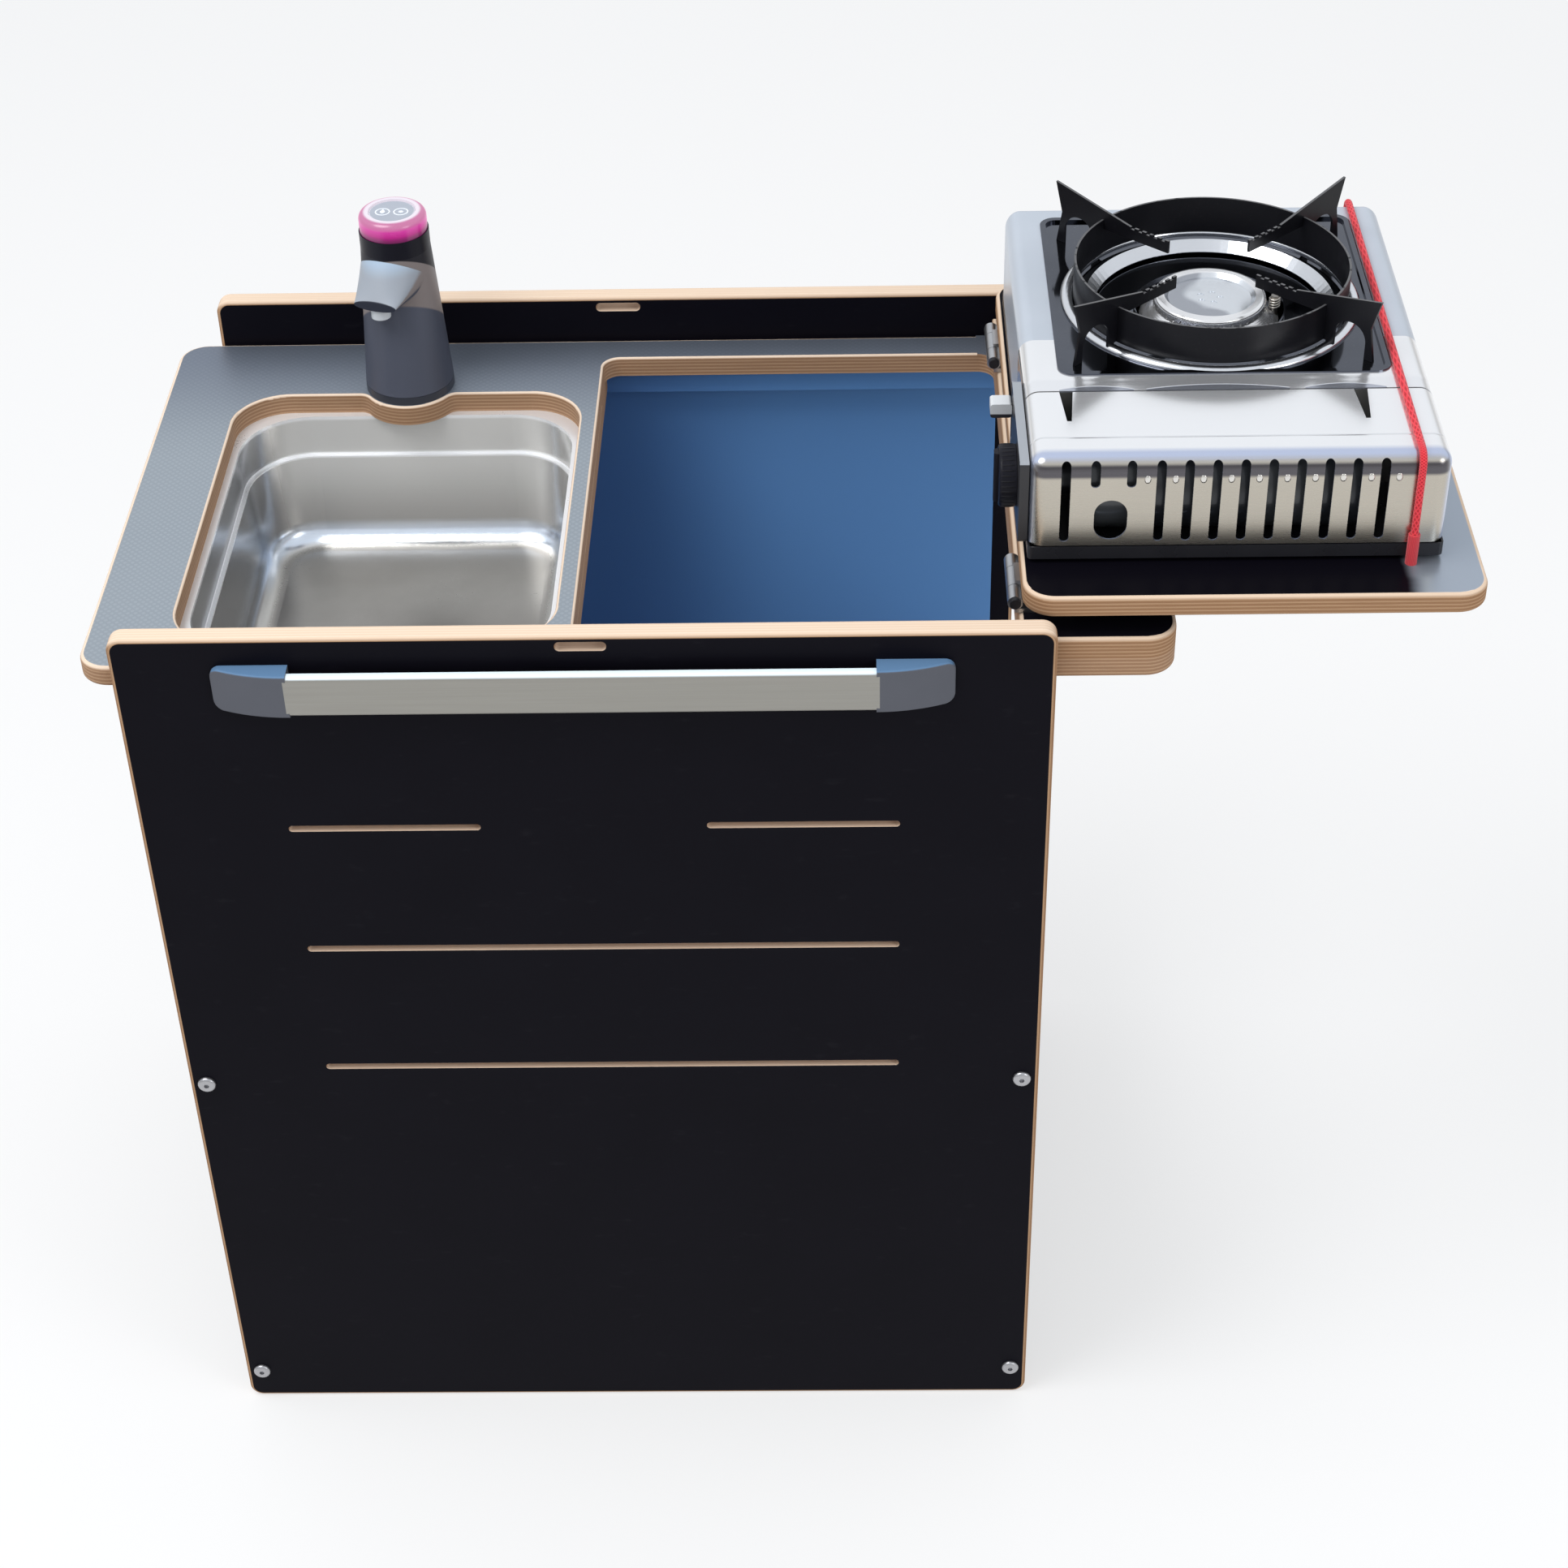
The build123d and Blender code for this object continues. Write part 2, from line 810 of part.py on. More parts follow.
def keel():
    """The fuller front of the body under the beak."""
    low = tap_base_top + seat_gap
    root = Pos(0, keel_low_radius - tap_radius, low) * Circle(keel_low_radius)
    tip = Pos(0, -keel_top_shift, spout_low_z() + overrun) * Circle(keel_top_radius)
    return Pos(tap_x, tap_y, 0) * Rot(0, 0, -spout_angle) * loft([root, tip])


def make_tap_body():
    low = tap_base_top + seat_gap
    top = tap_top
    tall = top - low
    body = Pos(tap_x, tap_y, (low + top) / 2) * Cone(tap_radius, tap_top_radius, tall)
    body += spout()
    body += keel()
    floor_z = low + tap_spigot_height + tap_wall
    hollow = Cone(tap_radius - tap_wall, tap_top_radius - tap_wall, top - tap_wall - floor_z)
    body -= Pos(tap_x, tap_y, (floor_z + top - tap_wall) / 2) * hollow
    body -= rod_z(tap_x, tap_y, low - overrun, low + tap_spigot_height, tap_spigot_radius + run_fit)
    x, y = nozzle_place()
    z = spout_low_z()
    body -= rod_z(x, y, z - nozzle_reach, z + nozzle_length, nozzle_radius + screw_fit)
    return body


def make_tap_nozzle():
    x, y = nozzle_place()
    low = spout_low_z() - nozzle_reach
    nozzle = rod_z(x, y, low, spout_low_z() + nozzle_length, nozzle_radius)
    return nozzle - rod_z(x, y, low - overrun, low + nozzle_reach / 2, nozzle_radius - tap_wall / 2)


def make_tap_battery():
    z = tap_base_top + seat_gap + tap_spigot_height + tap_wall
    return rod_z(tap_x, tap_y, z, z + battery_length, battery_radius)


def make_tap_collar():
    z = tap_top
    collar = Pos(tap_x, tap_y, z + collar_height / 2) * Cone(tap_top_radius, ring_radius + edge_round / 4,
                                                            collar_height)
    return collar - rod_z(tap_x, tap_y, z + tap_wall, z + collar_height + overrun, button_radius + button_gap)


def make_tap_ring():
    z = tap_top + collar_height
    ring = rod_z(tap_x, tap_y, z, z + ring_height, ring_radius)
    ring = fillet(ring.edges().sort_by(Axis.Z)[-1], ring_height * ring_round_share)
    return ring - rod_z(tap_x, tap_y, z - overrun, z + ring_height + overrun, button_radius + button_gap)


def make_tap_button():
    top = tap_top + collar_height + ring_height - button_dish
    button = rod_z(tap_x, tap_y, top - button_height, top, button_radius)
    rim = button.edges().filter_by(GeomType.CIRCLE).sort_by(Axis.Z)[-1]
    return fillet(rim, button_dish)


def make_tap_spring():
    """The button's spring, as a plain tube between the collar's floor and the button."""
    z = tap_top + tap_wall
    top = tap_top + collar_height + ring_height - button_dish
    tube = rod_z(tap_x, tap_y, z, top - button_height, button_radius / 2)
    return tube - rod_z(tap_x, tap_y, z - overrun, top, button_radius / 2 - tap_wall / 2)


def stove_shell(x0, x1, y0, y1, z0, z1, near_round, far_round, grow):
    """A filled sheet-metal box with rounded top edges, shrunk by grow on all its walls but the bottom."""
    box = block(x0 + grow, x1 - grow, y0 + (grow if near_round else 0), y1 - (grow if far_round else 0),
                z0, z1 - grow)
    top = box.faces().sort_by(Axis.Z)[-1].edges()
    ends = top.filter_by(Axis.Y)
    if near_round:
        near = top.filter_by(Axis.X).sort_by(Axis.Y)[0]
        box = fillet(near, near_round - grow)
    if far_round:
        top = box.faces().sort_by(Axis.Z)[-1].edges().filter_by(Axis.X)
        box = fillet(top.sort_by(Axis.Y)[-1], far_round - grow)
    ends = [edge for edge in box.edges().filter_by(Axis.Z, reverse=True)
            if abs(edge.center().X - x0 - grow) < seat_gap or abs(edge.center().X - x1 + grow) < seat_gap]
    ends = [edge for edge in ends if edge.center().Z > z1 - cover_edge - overrun
            and edge.bounding_box().size.Z < cover_edge + overrun]
    return fillet(ends, stove_edge - grow)


def stove_top_shell():
    """The folded sheet behind the cover: top, two ends and far side, with the burner opening."""
    args = (stove_left, stove_right, cover_line, stove_far, tray_top, stove_top, 0, stove_far_edge)
    shell = stove_shell(*args, 0) - stove_shell(*args[:4], tray_top - overrun, *args[5:], sheet)
    half_x = drip_x / 2 + part_gap
    half_y = drip_y / 2 + part_gap
    y = burner_y + drip_shift
    return shell - slab(burner_x - half_x, burner_x + half_x, y - half_y, y + half_y,
                        stove_top - 2 * sheet, stove_top + overrun, drip_corner)


def make_stove_top():
    return stove_top_shell() & block(stove_left, stove_right, bright_end, stove_far, tray_top, stove_top)


def make_stove_strip():
    """The bright part of the top next to the cover, with a wing at each side of the drip pan."""
    return stove_top_shell() & block(stove_left, stove_right, cover_line, bright_end, tray_top, stove_top)


def make_stove_tray():
    tray = block(stove_left, stove_right, stove_near, stove_far, stove_low, tray_top)
    tray = fillet(tray.edges().filter_by(Axis.Z), edge_round)
    return tray - block(stove_left + sheet, stove_right - sheet, stove_near + sheet, stove_far - sheet,
                        stove_low + sheet, tray_top + overrun)


def make_stove_feet():
    feet = []
    for x in (stove_left + foot_inset, stove_right - foot_inset):
        for y in (stove_near + foot_inset, stove_far - foot_inset):
            feet.append(rod_z(x, y, lid_top, stove_low, foot_radius))
    return group(feet)


def make_heat_shield():
    """The upright sheet between the cartridge and the burner."""
    y = cover_line + shield_back
    shield = stove_shell(stove_left, stove_right, y, y + sheet, stove_low + sheet, stove_top, 0, 0,
                         sheet + part_gap)
    return shield - rod_y(pipe_x(), y - overrun, y + sheet + overrun, pipe_z(), pipe_radius + part_gap)


def pipe_x():
    return stove_left + cartridge_left - cartridge_collar - regulator_length / 2


def pipe_z():
    return stove_low + pipe_lift


def make_gas_pipe():
    path = FilletPolyline((pipe_x(), cartridge_y, pipe_z()), (pipe_x(), burner_y, pipe_z()),
                          (burner_x - burner_neck_radius, burner_y, pipe_z()), radius=pipe_bend)
    return sweep(Plane(path @ 0, z_dir=path % 0) * Circle(pipe_radius), path)


def make_regulator():
    x1 = stove_left + cartridge_left - cartridge_collar
    body = rod_x(x1 - regulator_length, x1, cartridge_y, cartridge_z, regulator_radius)
    spindle_end = stove_left - panel_box_thickness - knob_thickness / 2
    body += rod_x(spindle_end, x1 - overrun, cartridge_y, cartridge_z, spindle_radius)
    body += rod_z(pipe_x(), cartridge_y, pipe_z() - pipe_radius - sheet, cartridge_z, pipe_radius + sheet)
    return body - rod_y(pipe_x(), cartridge_y, cartridge_y + regulator_radius, pipe_z(), pipe_radius)


def can_form(inset):
    """The can's filled shape with its sloped shoulder, set in by the wall for its inside."""
    x0 = stove_left + cartridge_left
    can = rod_x(x0 + inset, x0 + cartridge_length - inset, cartridge_y, cartridge_z, cartridge_radius - inset)
    rims = can.edges().filter_by(GeomType.CIRCLE).sort_by(Axis.X)
    can = chamfer(rims[0], cartridge_shoulder - inset)
    rims = can.edges().filter_by(GeomType.CIRCLE).sort_by(Axis.X)
    return fillet(rims[-1], edge_round - inset)


def make_cartridge():
    """A thin can with a valve collar, open through the valve."""
    x0 = stove_left + cartridge_left
    can = can_form(0) - can_form(cartridge_wall)
    can += rod_x(x0 - cartridge_collar, x0, cartridge_y, cartridge_z, cartridge_collar_radius)
    return can - rod_x(x0 - cartridge_collar - overrun, x0 + cartridge_wall + overrun, cartridge_y, cartridge_z,
                       cartridge_valve_radius)


def make_burner():
    """The burner head: a bowl with a sloping skirt, notched beside the igniter, on its neck."""
    top = stove_top + cap_lift - cap_height
    middle = top - burner_skirt_height
    low = middle - burner_bowl_height
    skirt = Cone(burner_skirt_radius, burner_radius, burner_skirt_height)
    bowl = Cone(burner_radius * burner_taper_share, burner_skirt_radius, burner_bowl_height)
    head = Pos(burner_x, burner_y, (middle + top) / 2) * skirt
    head += Pos(burner_x, burner_y, (low + middle) / 2) * bowl
    head += rod_z(burner_x, burner_y, stove_low + sheet, low, burner_neck_radius)
    return head - rod_z(burner_x + electrode_reach, burner_y, low - overrun, top + overrun,
                        electrode_radius + part_gap)


def make_burner_cap():
    low = stove_top + cap_lift - cap_height
    cap = rod_z(burner_x, burner_y, low, low + cap_height, cap_radius)
    cap = fillet(cap.edges().sort_by(Axis.Z)[-1], cap_dish)
    cap -= Pos(burner_x, burner_y, low + cap_height - cap_dish / 2) * Cone(cap_dish_radius - cap_dish,
                                                                          cap_dish_radius, cap_dish)
    for step in range(port_count):
        turn = Pos(burner_x, burner_y, low) * Rot(0, 0, 360 * step / port_count)
        cap -= turn * Pos(cap_radius, 0, 0) * Box(2 * port_depth, port_width, 2 * port_depth)
    for step in range(cap_hole_count):
        turn = Pos(burner_x, burner_y, low + cap_height) * Rot(0, 0, 360 * step / cap_hole_count)
        cap -= turn * Pos(cap_hole_ring, 0, 0) * Cylinder(cap_hole_radius, cap_height)
    return cap


def make_electrode():
    x = burner_x + electrode_reach
    top = stove_top + electrode_rise - cap_dish
    return rod_z(x, burner_y, stove_low + sheet, top, electrode_radius)


def make_drip_pan():
    """The pressed tray round the burner, hung on the top plate by its flange, with a round dish in it."""
    half_x = drip_x / 2
    half_y = drip_y / 2
    x0, x1 = burner_x - half_x, burner_x + half_x
    y0, y1 = burner_y + drip_shift - half_y, burner_y + drip_shift + half_y
    ledge = drip_top - drip_ledge
    pan = slab(x0 - drip_flange, x1 + drip_flange, y0 - drip_flange, y1 + drip_flange, stove_top, drip_top,
               drip_corner + drip_flange)
    pan += slab(x0, x1, y0, y1, ledge - drip_sheet, stove_top, drip_corner)
    pan += rod_z(burner_x, burner_y, drip_floor - drip_sheet, ledge, drip_dish_radius + drip_sheet)
    pan -= slab(x0 + drip_sheet, x1 - drip_sheet, y0 + drip_sheet, y1 - drip_sheet, ledge,
                drip_top + overrun, drip_corner - drip_sheet)
    pan -= rod_z(burner_x, burner_y, drip_floor, ledge + overrun, drip_dish_radius)
    pan += rod_z(burner_x, burner_y, drip_floor - drip_sheet, drip_floor + drip_lip,
                 drip_hole_radius + drip_sheet)
    return pan - rod_z(burner_x, burner_y, drip_floor - overrun, drip_top + overrun, drip_hole_radius)


def make_control_panel():
    """The black box on the stove's left end, with the knob's hole and the lever's slot."""
    x1 = stove_left - part_gap
    x0 = x1 - panel_box_thickness
    y0 = stove_near + panel_box_near
    z0 = tray_top
    box = block(x0, x1, y0, y0 + panel_box_width, z0, z0 + panel_box_rise)
    box = fillet(box.edges().filter_by(Axis.X), edge_round)
    box -= rod_x(x0 - overrun, x1 + overrun, cartridge_y, cartridge_z, spindle_radius + part_gap)
    y, z = lever_place()
    half = lever_blade / 2 + lever_slot_gap
    rise = lever_blade / 2 + lever_slot_gap
    return box - block(x0 - overrun, x1 + overrun, y - half, y + half, z - lever_travel - rise, z + rise)


def lever_place():
    return stove_near + lever_shift, stove_low + lever_rise


def make_knob():
    x1 = stove_left - part_gap - panel_box_thickness - part_gap
    x0 = x1 - knob_thickness
    knob = rod_x(x0 + knob_grip_rise, x1, cartridge_y, cartridge_z, knob_radius)
    face = knob.edges().filter_by(GeomType.CIRCLE).sort_by(Axis.X)[0]
    knob = fillet(face, knob_dish)
    grip = block(x0, x1, cartridge_y - knob_grip_width / 2, cartridge_y + knob_grip_width / 2,
                 cartridge_z - knob_radius + knob_dish, cartridge_z + knob_radius - knob_dish)
    grip = fillet(grip.edges().filter_by(Axis.Z).sort_by(Axis.X)[:2], knob_dish)
    grip &= rod_x(x0 - overrun, x1, cartridge_y, cartridge_z, knob_radius - knob_dish / 2)
    knob += grip
    return knob - rod_x(x0 + knob_thickness / 2 - run_fit, x1 + overrun, cartridge_y, cartridge_z,
                        spindle_radius + run_fit)


def make_lever():
    """The cartridge catch: a finger piece on a blade that slides in its slot."""
    y, z = lever_place()
    x1 = stove_left - part_gap - panel_box_thickness - part_gap
    finger = block(x1 - lever_reach, x1, y - lever_width / 2, y + lever_width / 2,
                   z - lever_height / 2, z + lever_height / 2)
    finger = fillet(finger.edges().filter_by(Axis.Y), knob_dish)
    blade = block(x1 - overrun, stove_left - part_gap, y - lever_blade / 2, y + lever_blade / 2,
                  z - lever_blade / 2, z + lever_blade / 2)
    return finger + blade


def make_cover():
    """The bright cartridge cover, with its row of slots, its oval window and its two hinge ears."""
    low = tray_top + cover_low_gap
    args = (stove_left, stove_right, stove_near, cover_y, low, stove_top, cover_edge, 0)
    cover = stove_shell(*args, 0) - stove_shell(*args[:4], low - overrun, *args[5:], sheet)
    cover -= block(stove_left - overrun, stove_left + 2 * sheet, stove_near + cover_edge, cover_y + overrun,
                   low - overrun, stove_top - cover_flange)
    for x, z_low, z_high in cover_slots(low):
        cover -= wall(x - slot_width / 2, x + slot_width / 2, z_low, z_high, stove_near - overrun,
                      stove_near + cover_edge * slot_reach_share, slot_width / 2 * slot_end_share)
    x = stove_left + window_x
    z = stove_low + window_rise
    cover -= wall(x - window_width / 2, x + window_width / 2, z - window_height / 2, z + window_height / 2,
                  stove_near - overrun, stove_near + 2 * sheet, window_width / 2 * slot_end_share)
    for x in (stove_left + notch_left_in, stove_right - notch_right_in):
        cover -= notch(x)
    for x in ear_places():
        ear = rod_x(x, x + sheet, cover_axis_y, cover_axis_z, cover_ear_radius)
        ear += block(x, x + sheet, cover_axis_y - cover_ear_radius, cover_axis_y + cover_ear_radius,
                     cover_axis_z, stove_top - sheet / 2)
        cover += ear - rod_x(x - overrun, x + sheet + overrun, cover_axis_y, cover_axis_z,
                             cover_pin_radius + run_fit)
    return cover


def cover_slots(low):
    """Each slot's middle, lower end and upper end: a long one, short ones over the window, then a row."""
    high = stove_top - slot_high
    yield stove_left + slot_first, low + slot_low, high
    for index in range(slot_short_count):
        yield stove_left + slot_short_first + slot_short_pitch * index, high - slot_short_length, high
    for index in range(slot_row_count):
        yield stove_left + slot_row_first + slot_pitch * index, low + slot_low, high


def notch(x):
    """A tapered notch in the cover's top, open at the hinge line."""
    tip = cover_y - notch_length
    outline = Polyline((x - notch_wide / 2, cover_y + overrun), (x + notch_wide / 2, cover_y + overrun),
                       (x + notch_narrow / 2, tip), (x - notch_narrow / 2, tip), close=True)
    return Pos(0, 0, stove_top - 2 * sheet) * extrude(make_face(outline), 3 * sheet)


def ear_places():
    """The left sides of the cover's two hinge ears."""
    return (stove_left + cover_ear_in, stove_right - cover_ear_in - sheet)


def bracket_places():
    """Each fixed hinge bracket's left side, and the side on which its ear lies."""
    step = sheet + part_gap
    left, right = ear_places()
    return ((left + step, -1), (right - step, 1))


def make_cover_brackets():
    """The two L-shaped brackets on the heat shield that hold the cover's hinge pins."""
    brackets = []
    shield_y = cover_line + shield_back
    for x, side in bracket_places():
        low = cover_axis_z - bracket_drop
        leg = block(x, x + sheet, cover_axis_y - bracket_half, cover_axis_y + bracket_half, low,
                    cover_axis_z + bracket_half)
        leg += block(x, x + sheet, cover_axis_y - bracket_half, shield_y, low, low + bracket_foot)
        brackets.append(leg - rod_x(x - overrun, x + sheet + overrun, cover_axis_y, cover_axis_z,
                                    cover_pin_radius))
    return group(brackets)


def make_cover_pins():
    """The cover's two hinge pins, fixed in the brackets and running in the ears."""
    pins = []
    for x, side in bracket_places():
        reach = sheet + part_gap + part_gap
        x0 = x - reach if side < 0 else x
        pins.append(rod_x(x0, x0 + sheet + reach, cover_axis_y, cover_axis_z, cover_pin_radius))
    return group(pins)


def arm_outline():
    """One arm of the pan support, along its radius and height over the top plate."""
    foot = drip_top - drip_ledge + seat_gap / 2 - stove_top
    span = (arm_knee - arm_inner) / arm_tooth_count
    low = arm_top_height - arm_inner_depth
    points = [(arm_inner, low), (arm_inner, arm_top_height)]
    for step in range(arm_tooth_count):
        r = arm_inner + span * step
        points.append((r + span / 2, arm_top_height))
        points.append((r + span / 2, arm_top_height - arm_tooth_rise))
        points.append((r + span, arm_top_height - arm_tooth_rise))
        points.append((r + span, arm_top_height))
    points += [(math.hypot(arm_tip_x, arm_tip_y), arm_tip_height), (arm_waist, arm_window_top),
               (arm_foot_outer, foot), (arm_foot_inner, foot), (arm_foot_inner, ring_band_low),
               (ring_band_radius, ring_band_low), (ring_band_radius, low)]
    return Polyline(*points, close=True)


def make_pan_support():
    """The loose pan support: an upright ring band and four arms with toothed tops."""
    band = Cylinder(ring_band_radius + ring_band / 2, ring_band_height)
    band -= Cylinder(ring_band_radius - ring_band / 2, ring_band_height + overrun)
    support = Pos(0, 0, ring_band_low + ring_band_height / 2) * band
    width = arm_window_outer - arm_window_inner
    window = Pos(arm_window_inner + width / 2, 0) * RectangleRounded(width, 2 * arm_window_top,
                                                                     width / 2 * slot_end_share)
    arm = Rot(90, 0, 0) * extrude(make_face(arm_outline()) - window, arm_thickness / 2, both=True)
    angle = math.degrees(math.atan2(arm_tip_y, arm_tip_x))
    for turn in (angle, -angle, 180 - angle, 180 + angle):
        support += Rot(0, 0, turn) * arm
    return Pos(burner_x, burner_y, stove_top) * support


def make_cord():
    """The elastic cord, pulled tight over the stove from hole to hole in the lid."""
    top = stove_top + cord_side
    path = FilletPolyline((cord_x, cord_near, lid_low), (cord_x, cord_near, top), (cord_x, cord_far, top),
                          (cord_x, cord_far, lid_low), radius=[cord_near_bend, cord_far_bend])
    return sweep(Plane(path @ 0, z_dir=path % 0) * Circle(cord_radius), path)


def make_cord_sleeve():
    """The thicker sleeve round the cord's front end, just over the lid."""
    sleeve = rod_z(cord_x, cord_near, lid_top, lid_top + sleeve_length, sleeve_radius)
    sleeve = fillet(sleeve.edges().sort_by(Axis.Z)[-1], (sleeve_radius - cord_radius) / 2)
    return sleeve - rod_z(cord_x, cord_near, lid_top - overrun, lid_top + sleeve_length + overrun,
                          cord_radius + screw_fit)


def make_knots():
    """The cord's end knots, drawn up against the lid from below."""
    knots = []
    for y in (cord_near, cord_far):
        ball = Pos(cord_x, y, lid_low - knot_cut) * Sphere(knot_radius)
        knots.append(ball - rod_z(cord_x, y, lid_low, lid_low + knot_radius, knot_radius))
    return group(knots)


nodes = {
    "front_panel": make_panel(-1),
    "rear_panel": make_panel(1),
    "left_end_panel": make_end_panel(-1),
    "right_end_panel": make_end_panel(1),
    "base_board": make_base_board(),
    "front_cleat": make_cleat(-1),
    "rear_cleat": make_cleat(1),
    "cleat_screws": make_cleat_screws(),
    "panel_screws": make_panel_screws(),
    "worktop": make_worktop(),
    "lid_rail": make_lid_rail(),
    "lid_buffers": make_lid_buffers(),
    "hinge_fixed_leaves": make_leaves(False),
    "hinge_moving_leaves": make_leaves(True),
    "hinge_pins": make_hinge_pins(),
    "fixed_leaf_screws": make_leaf_screws(False),
    "moving_leaf_screws": make_leaf_screws(True),
    "lid": make_lid(),
    "handle_bar": make_handle_bar(),
    "handle_caps": make_handle_caps(),
    "handle_screws": make_handle_screws(),
    "sink_pan": make_sink_pan(),
    "pan_frame": make_pan_frame(),
    "pan_shims": make_pan_shims(),
    "tap_base": make_tap_base(),
    "tap_base_screws": make_tap_base_screws(),
    "tap_tail": make_tap_tail(),
    "tap_body": make_tap_body(),
    "tap_nozzle": make_tap_nozzle(),
    "tap_battery": make_tap_battery(),
    "tap_collar": make_tap_collar(),
    "tap_light_ring": make_tap_ring(),
    "tap_button": make_tap_button(),
    "tap_button_spring": make_tap_spring(),
    "stove_tray": make_stove_tray(),
    "stove_feet": make_stove_feet(),
    "stove_top_plate": make_stove_top(),
    "stove_strip": make_stove_strip(),
    "heat_shield": make_heat_shield(),
    "gas_regulator": make_regulator(),
    "gas_pipe": make_gas_pipe(),
    "gas_cartridge": make_cartridge(),
    "burner_body": make_burner(),
    "burner_cap": make_burner_cap(),
    "igniter": make_electrode(),
    "drip_pan": make_drip_pan(),
    "control_panel": make_control_panel(),
    "stove_knob": make_knob(),
    "cartridge_lever": make_lever(),
    "cartridge_cover": make_cover(),
    "cover_brackets": make_cover_brackets(),
    "cover_pins": make_cover_pins(),
    "pan_support": make_pan_support(),
    "elastic_cord": make_cord(),
    "cord_sleeve": make_cord_sleeve(),
    "cord_knots": make_knots(),
}

os.makedirs("parts", exist_ok=True)
for name, shape in nodes.items():
    export_step(shape, f"parts/{name}.step")
print("cord arc radii", cord_near_bend, cord_far_bend)
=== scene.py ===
import bpy
import bmesh
import math
from mathutils import Matrix, Vector


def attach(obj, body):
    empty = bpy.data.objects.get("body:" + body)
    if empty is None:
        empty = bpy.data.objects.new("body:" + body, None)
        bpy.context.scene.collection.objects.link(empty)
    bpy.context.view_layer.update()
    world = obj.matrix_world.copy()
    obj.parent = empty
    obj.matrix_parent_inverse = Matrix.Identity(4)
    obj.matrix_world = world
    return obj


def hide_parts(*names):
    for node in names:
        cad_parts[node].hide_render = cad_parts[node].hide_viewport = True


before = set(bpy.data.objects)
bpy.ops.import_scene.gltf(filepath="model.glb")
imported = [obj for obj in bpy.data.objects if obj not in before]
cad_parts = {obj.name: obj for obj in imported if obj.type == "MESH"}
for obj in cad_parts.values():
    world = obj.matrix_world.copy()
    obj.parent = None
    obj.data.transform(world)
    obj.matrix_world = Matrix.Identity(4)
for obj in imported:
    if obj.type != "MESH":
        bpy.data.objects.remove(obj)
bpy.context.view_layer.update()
print("frame loaded:", len(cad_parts), "nodes")


def setStops(ramp, stops):
    while len(ramp.elements) < len(stops):
        ramp.elements.new(0.5)
    for element, (position, shade) in zip(ramp.elements, stops):
        element.position = position
        element.color = (*shade, 1.0)


class Value:
    # wraps a socket, so that sums on values add Math nodes
    def __init__(self, finish, socket):
        self.finish = finish
        self.socket = socket

    def __add__(self, other):
        return self.finish.maths("ADD", self, other)

    def __radd__(self, other):
        return self.finish.maths("ADD", other, self)

    def __sub__(self, other):
        return self.finish.maths("SUBTRACT", self, other)

    def __rsub__(self, other):
        return self.finish.maths("SUBTRACT", other, self)

    def __mul__(self, other):
        return self.finish.maths("MULTIPLY", self, other)

    def __rmul__(self, other):
        return self.finish.maths("MULTIPLY", other, self)

    def __truediv__(self, other):
        return self.finish.maths("DIVIDE", self, other)

    def __gt__(self, other):
        return self.finish.maths("GREATER_THAN", self, other)

    def __lt__(self, other):
        return self.finish.maths("LESS_THAN", self, other)

    def __abs__(self):
        return self.finish.maths("ABSOLUTE", self)


